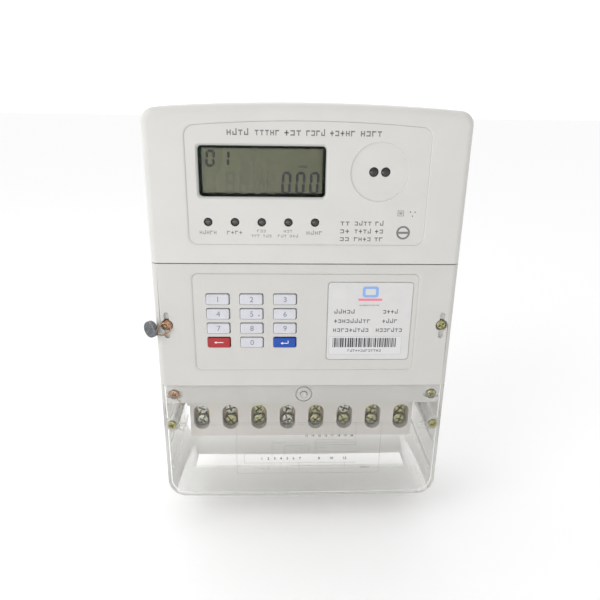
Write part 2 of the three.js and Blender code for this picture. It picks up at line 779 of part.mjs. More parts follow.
function terminalClamp(x) {
  const body = box(x - clampWidth / 2, x + clampWidth / 2, clampFront + clampDepth, clampFront,
    clampBottom, clampTop);
  const tab = box(x - clampTabWidth / 2, x + clampTabWidth / 2, tabY + clampTabThickness / 2,
    tabY - clampTabThickness / 2, clampTop - lap, blockTop + clampTabReach);
  const holes = clampScrewZs().map((z) => rod(clampScrewShank + 2 * fitGap, x, z, boreY,
    clampFront - throughCut));
  const bore = upright(cableBore, x, boreY, clampBottom - throughCut, clampTop - cableStop);
  return cut(join(body, tab), bore, ...holes);
}

// The two neutral clamps are one piece, linked inside the case.
function neutralLink(xFirst, xLast) {
  const linkTop = blockTop + clampTabReach;
  const link = box(xFirst, xLast, tabY + clampTabThickness / 2, tabY - clampTabThickness / 2,
    linkTop - clampTabThickness, linkTop);
  return join(terminalClamp(xFirst), terminalClamp(xLast), link);
}

function clampScrew(x, z) {
  const yFace = clampFront - fitGap - clampScrewHeadThickness;
  return screw(x, z, clampScrewHead, clampScrewHeadThickness, clampScrewShank, yFace,
    boreY - cableBore / 2);
}

// ---- terminal cover ----

function terminalCover() {
  const zHigh = lowerSeam - seamGap;
  const yBack = -coverRearGap;
  const outer = slice(bodyForm(0, yBack, front), bottom - throughCut, zHigh);
  const room = bodyForm(clearWall, yBack + throughCut, front + clearWall);
  let solid = cut(outer, room);
  const bossBack = front + terminalBossDepth;
  for (const [, side] of sides) {
    const x = side * terminalScrewX;
    solid = join(solid,
      rod(terminalScrewHead + 2 * bossWall - 2 * lap, x, terminalScrewZ,
        front + terminalHeadBossDepth, front + lap).subtract(outside(halfWidth - lap)),
      rod(terminalScrewShank + 2 * bossWall, x, terminalScrewZ, bossBack, front + lap)
        .subtract(outside(halfWidth - lap)),
      sealEye(side));
    for (const drop of sideRibDrops) {
      const wallX = halfWidth - clearWall + lap;
      const ribX = halfWidth - clearWall - sideRibReach;
      const z = lowerSeam - drop;
      solid = join(solid, box(Math.min(side * wallX, side * ribX), Math.max(side * wallX, side * ribX),
        yBack - sideRibEndMargin, front + clearWall + sideRibEndMargin,
        z - sideRibHeight / 2, z + sideRibHeight / 2));
    }
  }
  solid = join(solid, rod(switchPipDiameter, 0, switchZ, bandFace - switchProud - fitGap,
    front + lap));
  const slotOutline = [-cableSlotWidth / 2, cableSlotWidth / 2, front + cableSlotFront + cableSlotDepth,
    front + cableSlotFront];
  const cuts = [box(...slotOutline, bottom - throughCut, bottom + bottomArch + 2 * clearWall)];
  for (const [, side] of sides) {
    const x = side * terminalScrewX;
    cuts.push(
      rod(terminalScrewHead + 2 * screwHeadClearance, x, terminalScrewZ,
        front + terminalScrewHeadDepth + screwHeadThickness + fitGap, front - throughCut, 12),
      rod(terminalScrewShank + 2 * fitGap, x, terminalScrewZ, bossBack + throughCut, front),
      slot(side * sealEyeX(), terminalScrewZ, sealEyeWidth - 2 * sealEyeRim,
        sealEyeHeight - 2 * sealEyeRim, front + clearWall + throughCut,
        front - sealEyeProud - throughCut));
  }
  return cut(solid, ...cuts);
}

function sealEyeX() {
  return terminalScrewX - terminalScrewHead / 2 - screwHeadClearance - sealEyeWidth / 2;
}

function sealEye(side) {
  return slot(side * sealEyeX(), terminalScrewZ, sealEyeWidth, sealEyeHeight, front + lap,
    front - sealEyeProud);
}

function switchButton() {
  const flangeFace = bandFace + wall + fitGap;
  return join(rod(switchButtonDiameter, 0, switchZ, flangeFace + switchStem,
    bandFace - switchProud, 12),
  rod(switchButtonDiameter + 2 * switchFlangeLip, 0, switchZ, flangeFace + switchFlangeThickness,
    flangeFace, 12));
}

// ---- seal ----

function sealDisc() {
  const [rim, face] = [sealDiameter / 2, sealThickness / 2];
  const [flatRadius, rimHalf] = [0.72 * rim, 0.44 * face];
  const geometry = new THREE.LatheGeometry([
    [0, -face], [flatRadius, -face], [rim, -rimHalf], [rim, rimHalf], [flatRadius, face], [0, face],
  ].map(([r, y]) => new THREE.Vector2(r, y)), 20);
  geometry.rotateZ(-THREE.MathUtils.degToRad(sealTurn));
  return solidOf(geometry).translate(-halfWidth - sealStandoff, sealY(), coverScrewZ - sealDrop);
}

// The seal's middle, in front of the cover so that its inner rim clears the face.
function sealY() {
  const turn = THREE.MathUtils.degToRad(sealTurn);
  return front - fitGap + 1 - sealThickness / 2 * Math.cos(turn);
}

function sealWire() {
  const turn = THREE.MathUtils.degToRad(sealTurn);
  const reach = sealDiameter / 2 + fitGap;
  const start = new THREE.Vector3(-halfWidth - sealStandoff + reach * Math.cos(turn),
    sealY() - reach * Math.sin(turn), coverScrewZ - sealDrop + 0.8);
  const x = -coverScrewX;
  const points = [
    start,
    new THREE.Vector3(x - 2.6, front - 1.4, coverScrewZ + 1.6),
    new THREE.Vector3(x, front - 1.3, coverScrewZ + 1.9),
    new THREE.Vector3(x + 2.4, front - 1.2, coverScrewZ - 0.6),
    new THREE.Vector3(x + 0.6, front - 1.1, coverScrewZ - 4.4),
    new THREE.Vector3(x - 1.4, front - 1, coverScrewZ - 5.6),
    new THREE.Vector3(start.x, start.y, start.z - 2.2),
  ];
  const section = new THREE.Shape();
  section.absarc(0, 0, sealWireDiameter / 2, 0, 2 * Math.PI);
  return solidOf(new THREE.ExtrudeGeometry(section, {
    extrudePath: new THREE.CatmullRomCurve3(points), steps: 16, curveSegments: 4, bevelEnabled: false,
  }));
}

// ---- inside the case ----

function boardCorners() {
  const x = halfWidth - mainBoardMargin - boardPostInset;
  const zHigh = top - topArch - mainBoardMargin - boardPostInset;
  const zLow = upperSeam + wall + boardPostInset;
  return [[-x, zHigh], [x, zHigh], [-x, zLow], [x, zLow]];
}

function mainBoard() {
  const face = front + mainBoardDepth;
  const zHigh = top - topArch - mainBoardMargin;
  const zLow = upperSeam + wall;
  return plate(roundedRect(0, (zHigh + zLow) / 2, 2 * (halfWidth - mainBoardMargin), zHigh - zLow, 2),
    face + boardThickness, face);
}

function loadRelay() {
  const zLow = bandBottom + wall + clampTabReach + relayRise;
  const yBack = -wall - relayStandoff;
  const body = roundedPlate(roundedRect(0, zLow + relayHeight / 2, relayWidth, relayHeight, 2),
    yBack, yBack - relayDepth, 1, 1);
  const pole = relayWidth / 3;
  const ribs = [-1, 1].map((i) => box((i * pole - relayRibWidth) / 2, (i * pole + relayRibWidth) / 2,
    yBack - relayDepth + lap, yBack - relayDepth - relayRibProud,
    zLow + relayRibInset, zLow + relayHeight - relayRibInset));
  return join(body, ...ribs);
}

// ---- the meter ----

add('rear_case', rearCase(), basePlastic);
add('hanging_hook', hangingHook(), finish(0xc9c9c5, 0.5));
add('front_case', frontCase(), coverPlastic);
add('display_window', displayWindow(), clearPlastic);
add('display_panel', displayPanel(), finish(0x7d7d69, 0.3));
add('light_guide', lightGuide(), finish(0x3a3a38, 0.3));
add('optical_plate', opticalPlate(), finish(0xb5b5b2, 0.4, 1));
add('optical_lens', opticalLens(), finish(0x1c1416, 0.2));
add('main_board', mainBoard(), boardGreen);
add('load_relay', loadRelay(), finish(0x2b2b2e, 0.5));

const { boardBack, boardFace, matBack, matFace } = keypadStack();
add('keypad_board', keypadSheet(boardBack, boardFace, keypadMatMargin, 1), boardGreen);
add('keypad_mat', keypadSheet(matBack, matFace, keypadMatMargin - 1, 2), finish(0x8f9090, 0.8));
add('keypad_cover', keypadCover(), keypadPlastic);
const keyColors = { key_delete: 0xd72832, key_enter: 0x1455c8 };
for (const place of keyPlaces()) {
  add(place.name, keySolid(place), finish(keyColors[place.name] ?? 0xe8e8ee, 0.4));
}
add('rating_label', ratingLabel(), finish(0xe8e8ea, 0.35));

for (const [name, side] of sides) {
  add(`keypad_cover_screw_${name}`, keypadCoverScrew(side), zinc);
  add(`case_screw_${name}`, caseScrew(side), zinc);
  add(`terminal_cover_screw_${name}`, terminalCoverScrew(side), zinc);
}

add('terminal_block', terminalBlock(), finish(0xcfcdc4, 0.55));
const phaseXs = terminalXs.slice(0, -2);
phaseXs.forEach((x, i) => add(`phase_clamp_${i + 1}`, terminalClamp(x), brass));
add('neutral_link', neutralLink(...terminalXs.slice(-2)), brass);
terminalXs.forEach((x, i) => {
  const number = i + 1;
  clampScrewZs().forEach((z, k) => {
    add(`terminal_screw_${number}_${k === 0 ? 'upper' : 'lower'}`, clampScrew(x, z), zinc);
  });
});
add('cover_switch_button', switchButton(), finish(0xd0d0cc, 0.5));
add('terminal_cover', terminalCover(), clearPlastic);
add('seal_disc', sealDisc(), finish(0x7c7e80, 0.5, 1));
add('seal_wire', sealWire(), finish(0xb9835a, 0.35, 1));

export default meter;
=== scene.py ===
import math
import random

import bmesh
import bpy
from mathutils import Matrix, Vector


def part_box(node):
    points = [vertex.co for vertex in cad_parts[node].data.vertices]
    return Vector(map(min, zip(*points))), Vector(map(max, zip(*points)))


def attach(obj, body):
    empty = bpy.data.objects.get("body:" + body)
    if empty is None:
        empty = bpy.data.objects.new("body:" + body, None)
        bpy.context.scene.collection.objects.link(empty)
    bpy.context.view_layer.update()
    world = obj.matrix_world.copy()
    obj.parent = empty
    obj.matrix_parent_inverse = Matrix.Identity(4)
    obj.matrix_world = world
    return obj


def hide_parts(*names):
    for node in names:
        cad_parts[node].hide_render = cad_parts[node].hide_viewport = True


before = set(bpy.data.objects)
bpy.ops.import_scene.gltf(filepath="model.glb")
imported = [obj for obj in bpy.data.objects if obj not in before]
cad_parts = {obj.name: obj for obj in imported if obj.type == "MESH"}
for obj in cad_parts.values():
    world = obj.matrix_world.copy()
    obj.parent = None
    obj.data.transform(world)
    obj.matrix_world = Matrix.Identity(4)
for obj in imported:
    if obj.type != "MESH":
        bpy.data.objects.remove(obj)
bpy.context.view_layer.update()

mm = 0.001
tiny = 1e-6

# places from the frame

caseLow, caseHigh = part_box("front_case")
keypadLow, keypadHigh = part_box("keypad_cover")
clearLow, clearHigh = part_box("terminal_cover")
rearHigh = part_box("rear_case")[1]
blockLow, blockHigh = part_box("terminal_block")
halfWidth = caseHigh.x
caseTop = caseHigh.z
bodyBottom = clearLow.z
front = caseLow.y
caseBack = caseHigh.y  # rear edge of the main cover
lowerSeam = keypadLow.z
deckFace = keypadLow.y + 12 * mm
lowerHalf = rearHigh.x - 1.4 * mm  # case inside the clear cover
past = 6 * mm  # how far a cutting shape runs beyond what it cuts
tabHalf = 3.3 * mm  # the clamps' tabs pass up through slots this wide
tabFront, tabBack = -35.9 * mm, -29.9 * mm


def middleOf(node):
    low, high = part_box(node)
    return (low.x + high.x) / 2, (low.z + high.z) / 2


keypadScrews = [middleOf("keypad_cover_screw_left"), middleOf("keypad_cover_screw_right")]
caseScrews = [middleOf("case_screw_left"), middleOf("case_screw_right")]
coverScrews = [middleOf("terminal_cover_screw_left"), middleOf("terminal_cover_screw_right")]
switchX, switchZ = middleOf("cover_switch_button")
bandBottom = caseLow.z
terminals = [(middleOf("terminal_screw_%d_upper" % n), middleOf("terminal_screw_%d_lower" % n))
             for n in range(1, 9)]
wellZ = (terminals[0][0][1] + terminals[0][1][1]) / 2

print("frame loaded")


# handling

def pickAlone(piece):
    bpy.ops.object.select_all(action="DESELECT")
    piece.select_set(True)
    bpy.context.view_layer.objects.active = piece


def settle(name):
    # place, turn and size go into the mesh of what was just added
    piece = bpy.context.active_object
    piece.name = name
    bpy.ops.object.transform_apply(location=True, rotation=True, scale=True)
    return piece


def block(name, low, high):
    low, high = Vector(low), Vector(high)
    bpy.ops.object.select_all(action="DESELECT")
    bpy.ops.mesh.primitive_cube_add(size=1, location=(low + high) / 2, scale=high - low)
    return settle(name)


def barrel(name, diameter, x, z, yBack, yFront, sides=48):
    bpy.ops.object.select_all(action="DESELECT")
    bpy.ops.mesh.primitive_cylinder_add(
        vertices=sides, radius=diameter / 2, depth=yBack - yFront,
        location=(x, (yBack + yFront) / 2, z), rotation=(math.pi / 2, 0, 0))
    return settle(name)


def everything(part):
    return True


def upright(name, diameter, x, y, zLow, zHigh, sides=32):
    bpy.ops.object.select_all(action="DESELECT")
    bpy.ops.mesh.primitive_cylinder_add(
        vertices=sides, radius=diameter / 2, depth=zHigh - zLow, location=(x, y, (zLow + zHigh) / 2))
    return settle(name)


def choose(piece, kind, test=everything):
    pickAlone(piece)
    bpy.ops.object.mode_set(mode="EDIT")
    bpy.ops.mesh.select_mode(type=kind)
    bpy.ops.mesh.select_all(action="DESELECT")
    form = bmesh.from_edit_mesh(piece.data)
    parts = {"VERT": form.verts, "EDGE": form.edges, "FACE": form.faces}[kind]
    for part in parts:
        if test(part):
            part.select_set(True)
    form.select_flush_mode()
    bmesh.update_edit_mesh(piece.data)


def leaveEdit():
    bpy.ops.object.mode_set(mode="OBJECT")


def alongDepth(edge):
    a, b = (v.co for v in edge.verts)
    return abs(a.x - b.x) < tiny and abs(a.z - b.z) < tiny


def atDepth(y):
    return lambda part: all(abs(v.co.y - y) < tiny for v in part.verts)


def atHeight(edge, z):
    return all(abs(v.co.z - z) < tiny for v in edge.verts)


def roundEdges(piece, test, radius, steps):
    choose(piece, "EDGE", test)
    bpy.ops.mesh.bevel(offset=radius, segments=steps, profile=0.5, affect="EDGES",
                       clamp_overlap=False)
    leaveEdit()


def roundedPlate(name, low, high, corner, steps=6):
    plate = block(name, low, high)
    roundEdges(plate, alongDepth, corner, steps)
    return plate


def plateAt(name, x, z, width, height, corner, yBack, yFront, steps=5):
    return roundedPlate(name, (x - width / 2, yFront, z - height / 2),
                        (x + width / 2, yBack, z + height / 2), corner, steps)


def slotShape(name, x, z, width, height, yBack, yFront, steps=10):
    # a slot with round ends
    return plateAt(name, x, z, width, height, min(width, height) * 0.499, yBack, yFront, steps)


def flare(piece, y, grow, reach, onward):
    # the end at y widens by grow over reach, and then runs straight on
    choose(piece, "FACE", atDepth(y))
    low, high = spanOf(piece)
    size = high - low
    bpy.ops.mesh.extrude_region_move(TRANSFORM_OT_translate={"value": (0, -reach, 0)})
    bpy.ops.transform.resize(value=(1 + 2 * grow / size.x, 1, 1 + 2 * grow / size.z),
                             center_override=(low + high) / 2)
    bpy.ops.mesh.extrude_region_move(TRANSFORM_OT_translate={"value": (0, -onward, 0)})
    leaveEdit()


def spanOf(piece):
    if piece.mode == "EDIT":
        points = [v.co for v in bmesh.from_edit_mesh(piece.data).verts]
    else:
        points = [v.co for v in piece.data.vertices]
    low = Vector(min(p[k] for p in points) for k in range(3))
    return low, Vector(max(p[k] for p in points) for k in range(3))


def applied(piece, kind, **settings):
    pickAlone(piece)
    step = piece.modifiers.new(kind.lower(), kind)
    for key, value in settings.items():
        setattr(step, key, value)
    bpy.ops.object.modifier_apply(modifier=step.name)
    return piece


def together(pieces):
    pickAlone(pieces[0])
    for piece in pieces[1:]:
        piece.select_set(True)
    if len(pieces) > 1:
        bpy.ops.object.join()
    return pieces[0]


def carve(piece, *cutters):
    # cutters in one call stay clear of each other
    tool = together(list(cutters))
    applied(piece, "BOOLEAN", operation="DIFFERENCE", object=tool, solver="EXACT")
    bpy.data.objects.remove(tool)
    return piece


def weld(piece, *others):
    for other in others:
        applied(piece, "BOOLEAN", operation="UNION", object=other, solver="EXACT")
        bpy.data.objects.remove(other)
    return piece


def soften(piece, radius, steps=2, limit=38, smooth=32):
    choose(piece, "VERT")
    bpy.ops.mesh.remove_doubles(threshold=2e-6)
    bpy.ops.mesh.dissolve_limited(angle_limit=math.radians(0.2))
    leaveEdit()
    if radius:
        applied(piece, "BEVEL", width=radius, segments=steps, limit_method="ANGLE",
                angle_limit=math.radians(limit), use_clamp_overlap=False)
    pickAlone(piece)
    bpy.ops.object.shade_smooth_by_angle(angle=math.radians(smooth))
    applied(piece, "WEIGHTED_NORMAL", keep_sharp=True, weight=80)
    return piece


def duplicate(piece, name, offset, turn=0.0, about=None):
    # a copy with its own mesh, turned about the depth direction and moved
    copy = piece.copy()
    copy.data = piece.data.copy()
    copy.name = name
    bpy.context.scene.collection.objects.link(copy)
    pivot = Vector(about or (0, 0, 0))
    spin = Matrix.Translation(pivot) @ Matrix.Rotation(turn, 4, "Y") @ Matrix.Translation(-pivot)
    copy.data.transform(Matrix.Translation(Vector(offset)) @ spin)
    return copy


def dress(piece, *looks):
    piece.data.materials.clear()
    for look in looks:
        piece.data.materials.append(look)
    return piece


def stand(piece, body, slotName, *nodes):
    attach(piece, body)
    if nodes:
        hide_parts(*nodes)
    return piece


# the body's outline

outline = {
    "frontRound": 4 * mm, "frontSteps": 7, "topCorner": 7 * mm, "bottomCorner": 12 * mm,
    "cornerSteps": 10, "topArch": 3 * mm, "bottomArch": 1 * mm, "archSteps": 23,
}


def archEnd(piece, half, upper, middle, rise):
    # an end edge becomes a shallow arch, highest in the middle
    choose(piece, "EDGE", lambda e: (e.verts[0].co.z > middle) == upper
           and abs(e.verts[0].co.x - e.verts[1].co.x) > half)
    bpy.ops.mesh.subdivide(number_cuts=outline["archSteps"])
    form = bmesh.from_edit_mesh(piece.data)
    columns = sorted({round(abs(v.co.x), 5) for v in form.verts if (v.co.z > middle) == upper})
    leaveEdit()
    for column in columns:
        drop = rise * (column / half) ** 2
        if drop > tiny:
            choose(piece, "VERT", lambda v: (v.co.z > middle) == upper and round(abs(v.co.x), 5) == column)
            bpy.ops.transform.translate(value=(0, 0, -drop if upper else drop))
            leaveEdit()


def archedPlate(name, half, zLow, zHigh, yBack, yFront, low=None, high=None):
    # low and high hold an end's corner radius and arch; an end without them is cut straight
    piece = block(name, (-half, yFront, zLow), (half, yBack, zHigh))
    middle = (zLow + zHigh) / 2
    for upper, end in ((False, low), (True, high)):
        if end:
            roundEdges(piece, lambda e: alongDepth(e) and (e.verts[0].co.z > middle) == upper,
                       end[0], outline["cornerSteps"])
            if end[1]:
                archEnd(piece, half, upper, middle, end[1])
    return piece


def bodyPart(name, inset, zLow, zHigh, yBack, yFront, lowEnd=False, highEnd=False, rounded=True):
    # a length of the meter's outer form, shrunk by an inset
    low = (outline["bottomCorner"] - inset, outline["bottomArch"]) if lowEnd else None
    high = (outline["topCorner"] - inset, outline["topArch"]) if highEnd else None
    piece = archedPlate(name, halfWidth - inset, zLow, zHigh, yBack, yFront, low, high)
    if rounded:
        straight = [z for z, isEnd in ((zLow, lowEnd), (zHigh, highEnd)) if not isEnd]
        onFront = atDepth(yFront)
        roundEdges(piece, lambda e: onFront(e) and not any(atHeight(e, z) for z in straight),
                   outline["frontRound"] - inset, outline["frontSteps"])
    return piece


# node writing

class Value:
    # a socket that sums and products can be written with
    def __init__(self, look, socket):
        self.look = look
        self.socket = socket

    def sum(self, operation, first, second):
        return self.look.node("ShaderNodeMath", {"operation": operation}, {0: first, 1: second})

    def __add__(self, other):
        return self.sum("ADD", self, other)

    def __radd__(self, other):
        return self.sum("ADD", other, self)

    def __sub__(self, other):
        return self.sum("SUBTRACT", self, other)

    def __rsub__(self, other):
        return self.sum("SUBTRACT", other, self)

    def __mul__(self, other):
        return self.sum("MULTIPLY", self, other)

    def __rmul__(self, other):
        return self.sum("MULTIPLY", other, self)


class Bench:
    # where nodes are made and linked
    def __init__(self, tree):
        self.tree = tree

    def node(self, kind, settings=None, inputs=None, out=0):
        made = self.tree.nodes.new(kind)
        for key, value in (settings or {}).items():
            setattr(made, key, value)
        for key, value in (inputs or {}).items():
            self.plug(made.inputs[key], value)
        return Value(self, made.outputs[out])

    def plug(self, socket, value):
        if isinstance(value, Value):
            self.tree.links.new(value.socket, socket)
        elif socket.type == "RGBA" and len(value) == 3:
            socket.default_value = (*value, 1)
        else:
            socket.default_value = value

    def mask(self, value, low, high, least=0.0, most=1.0):
        return self.node("ShaderNodeMapRange", {}, {0: value, 1: low, 2: high, 3: least, 4: most})


class Look(Bench):
    # a material with one main shader
    def __init__(self, name, **constants):
        self.material = bpy.data.materials.new(name)
        self.material.use_nodes = True
        super().__init__(self.material.node_tree)
        self.shader = self.tree.nodes["Principled BSDF"]
        self.output = self.tree.nodes["Material Output"]
        self.place = self.node("ShaderNodeTexCoord", {}, {}, "Object")
        self.feed(**constants)

    def feed(self, **inputs):
        for key, value in inputs.items():
            self.plug(self.shader.inputs[key.replace("_", " ")], value)

    def noise(self, size, detail=3.0, stretch=(1, 1, 1), rough=0.5):
        # cloudy pattern with features of about this size
        point = self.node("ShaderNodeMapping", {}, {"Vector": self.place, "Scale": stretch})
        return self.node("ShaderNodeTexNoise", {"noise_dimensions": "3D"},
                         {"Vector": point, "Scale": 1 / size, "Detail": detail, "Roughness": rough})

    def cells(self, size, stretch=(1, 1, 1)):
        point = self.node("ShaderNodeMapping", {}, {"Vector": self.place, "Scale": stretch})
        return self.node("ShaderNodeTexVoronoi", {}, {"Vector": point, "Scale": 1 / size}, "Distance")

    def blend(self, share, first, second):
        return self.node("ShaderNodeMix", {"data_type": "RGBA"}, {0: share, 6: first, 7: second}, 2)

    def bump(self, height, depth, strength=1.0, under=None):
        inputs = {"Height": height, "Distance": depth, "Strength": strength}
        if under:
            inputs["Normal"] = under
        return self.node("ShaderNodeBump", {}, inputs)


def shade(colour, factor):
    return tuple(min(1.0, c * factor) for c in colour)


mouldings = {
    "mottle": 18 * mm, "grain": 0.5 * mm, "grainDepth": 0.012 * mm, "flow": 60 * mm,
    "dustSize": 0.7 * mm, "tint": 0.035,
}


def mouldedLook(name, colour, roughness, grainDepth=None, speckle=0.0):
    # injection moulding: slight cloudiness, flow shading, a fine grain and the odd dark speck
    look = Look(name, Specular_IOR_Level=0.42)
    cloud = look.noise(mouldings["mottle"], 2)
    flow = look.noise(mouldings["flow"], 1, (1, 1, 2.2))
    grain = look.noise(mouldings["grain"], 2)
    share = cloud * 0.6 + flow * 0.4
    base = look.blend(look.mask(share, 0.3, 0.7), shade(colour, 1 - mouldings["tint"]),
                      shade(colour, 1 + mouldings["tint"] * 0.5))
    specks = look.mask(look.cells(mouldings["dustSize"] * 3.1), 0.07, 0.03) * look.mask(cloud, 0.5, 0.66)
    base = look.blend(specks * 0.25 + grain * speckle, base, shade(colour, 0.6))
    rough = look.mask(cloud, 0.25, 0.8) * 0.10 + look.mask(grain, 0.3, 0.7) * 0.06 + (roughness - 0.08)
    look.feed(Base_Color=base, Roughness=rough,
              Normal=look.bump(grain, grainDepth or mouldings["grainDepth"], 0.6))
    return look.material


coverLook = mouldedLook("coverMoulding", (0.61, 0.603, 0.578), 0.42)
keypadLook = mouldedLook("keypadMoulding", (0.575, 0.567, 0.541), 0.45)
baseLook = mouldedLook("baseMoulding", (0.585, 0.578, 0.55), 0.52, 0.03 * mm)
print("materials made")


# printing

def lettering(name, text, height, x, y, z, thick=0.04 * mm, bold=0.0):
    # figures of a given height, standing on the face at y
    bpy.ops.object.select_all(action="DESELECT")
    bpy.ops.object.text_add()
    piece = bpy.context.active_object
    piece.name = name
    piece.data.body = text
    piece.data.extrude = 0.1
    piece.data.offset = bold
    piece.data.resolution_u = 3
    bpy.ops.object.convert(target="MESH")
    piece = bpy.context.active_object
    low, high = spanOf(piece)
    size = height / (high.y - low.y)
    piece.data.transform(Matrix.Translation(-(low + high) / 2))
    piece.data.transform(Matrix.Diagonal((size, size, thick / (high.z - low.z), 1)))
    piece.rotation_euler = (math.pi / 2, 0, 0)
    piece.location = (x, y - thick / 4, z)
    return settle(name)


def stroke(name, x, z, width, height, y, thick=0.04 * mm):
    return block(name, (x - width / 2, y - thick * 0.75, z - height / 2),
                 (x + width / 2, y + thick * 0.25, z + height / 2))


glyphs = [  # invented marks, as strokes in a unit cell: left, bottom, width, height
    [(0, 0, 0.22, 0.8), (0, 0.6, 0.8, 0.2)],
    [(0, 0.6, 0.8, 0.2), (0, 0, 0.8, 0.2), (0.58, 0.2, 0.22, 0.4)],
    [(0.58, 0, 0.22, 1.0), (0, 0, 0.58, 0.2), (0, 0.2, 0.22, 0.36)],
    [(0, 0.32, 0.8, 0.2), (0.3, 0, 0.22, 0.8)],
    [(0, 0, 0.22, 0.8), (0.58, 0, 0.22, 0.8), (0.22, 0.3, 0.36, 0.2)],
    [(0, 0.6, 0.8, 0.2), (0.3, 0, 0.22, 0.6)],
]


def wordMarks(name, groups, z, height, y, seed=3):
    # a printed line stood in for by invented marks, one group of marks per word
    draw = random.Random(seed)
    cell = height * 0.86
    marks = []
    for left, right in groups:
        count = max(1, round((right - left) / cell))
        pitch = (right - left) / count
        for i in range(count):
            for sx, sz, sw, sh in draw.choice(glyphs):
                wide = pitch * 0.92
                cx = left + i * pitch + (sx + sw / 2) * wide
                marks.append(stroke(name, cx, z - height / 2 + (sz + sh / 2) * height,
                                    sw * wide, sh * height, y))
    return together(marks)


def inkLook(name, colour, roughness=0.5):
    look = Look(name)
    wear = look.noise(0.6 * mm, 2)
    look.feed(Base_Color=look.blend(look.mask(wear, 0.35, 0.75), colour, tuple(c + 0.05 for c in colour)),
              Roughness=look.mask(wear, 0.2, 0.8) * 0.15 + (roughness - 0.05))
    return look.material


greyInk = inkLook("greyInk", (0.16, 0.16, 0.165))
paleInk = inkLook("paleInk", (0.27, 0.27, 0.275))
blackInk = inkLook("blackInk", (0.035, 0.035, 0.04))
whiteInk = inkLook("whiteInk", (0.86, 0.84, 0.84))
blueInk = inkLook("blueInk", (0.22, 0.38, 0.72))
redInk = inkLook("redInk", (0.75, 0.18, 0.26))


# main cover

mainCover = {
    "wall": 2.4 * mm, "seam": 0.5 * mm, "bandFace": front + 5 * mm, "edge": 0.22 * mm,
    "panelDepth": 0.5 * mm, "panelHalf": 66.5 * mm, "panelLow": 10.4 * mm, "panelTop": 8 * mm,
    "panelCorner": 5 * mm, "panelSlope": 1.2 * mm, "displayFlare": 1.3 * mm,
    "ringDiameter": 32 * mm, "ringDepth": 0.6 * mm, "eyeDiameter": 5.2 * mm, "eyeSpacing": 6.5 * mm,
    "lampDiameter": 4.8 * mm, "eyeSlot": (10.6 * mm, 5 * mm, 1.4 * mm), "headHole": 7 * mm,
    "shankHole": 3.6 * mm, "switchGroove": (10.6 * mm, 9.3 * mm, 1.3 * mm), "switchHole": 4.6 * mm,
}
wall = mainCover["wall"]
upperSeam = keypadHigh.z + mainCover["seam"]
windowLow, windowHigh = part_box("display_window")
guideLow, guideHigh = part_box("light_guide")
lensLow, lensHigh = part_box("optical_lens")
portX, portZ = middleOf("optical_lens")
lampZ = (guideLow.z + guideHigh.z) / 2
lampXs = [guideLow.x + 3.4 * mm + i * (guideHigh.x - guideLow.x - 6.8 * mm) / 4 for i in range(5)]
panelFace = front + mainCover["panelDepth"]
bandFace = mainCover["bandFace"]


def mainShell():
    shell = bodyPart("main_cover", 0, lowerSeam, caseTop, caseBack, front, highEnd=True)
    carve(shell, block("keypadRoom", (-0.2, -0.2, lowerSeam - past), (0.2, deckFace, upperSeam)))
    band = block("band", (-lowerHalf, bandFace, bandBottom),
                 (lowerHalf, caseBack, lowerSeam - mainCover["seam"]))
    neck = block("neck", (-lowerHalf + 0.05 * mm, deckFace, bandBottom + mm),
                 (lowerHalf - 0.05 * mm, caseBack - 0.05 * mm, lowerSeam + wall))
    weld(shell, weld(band, neck))
    room = bodyPart("room", wall, lowerSeam + wall, caseTop - wall, caseBack + past, front + wall,
                    highEnd=True)
    carve(room, block("roomStep", (-0.2, -0.2, lowerSeam - past), (0.2, deckFace + wall, upperSeam + wall)))
    carve(shell, room)
    carve(shell, block("bandRoom", (-lowerHalf + wall, bandFace + wall, bandBottom + wall),
                       (lowerHalf - wall, caseBack + past, lowerSeam - wall)))
    return carve(shell, block("throat", (-lowerHalf + wall, deckFace + wall, bandBottom + wall),
                              (lowerHalf - wall, caseBack + past, lowerSeam + 2 * wall)))


def panelCutter(zLow, zHigh, corner, slope, arch):
    cutter = archedPlate("panel", mainCover["panelHalf"] - slope / 2, zLow + slope / 2, zHigh - slope / 2,
                         panelFace, panelFace - 0.01 * mm, (corner, 0), (corner, arch))
    flare(cutter, panelFace - 0.01 * mm, slope, mainCover["panelDepth"], 3 * mm)
    return cutter


def windowInner():
    lip = 2 * mm
    return windowLow + Vector((lip, 0, lip)), windowHigh - Vector((lip, 0, lip))


def displayCutter():
    low, high = windowInner()
    grow = mainCover["displayFlare"]
    cutter = roundedPlate("opening", (low.x, panelFace + grow, low.z),
                          (high.x, front + 8 * mm, high.z), 2 * mm, 8)
    flare(cutter, panelFace + grow, grow, grow, 2 * mm)
    return cutter


def tabSlot(x, zLow, zHigh):
    return block("tabSlot", (x - tabHalf, tabFront, zLow), (x + tabHalf, tabBack, zHigh))


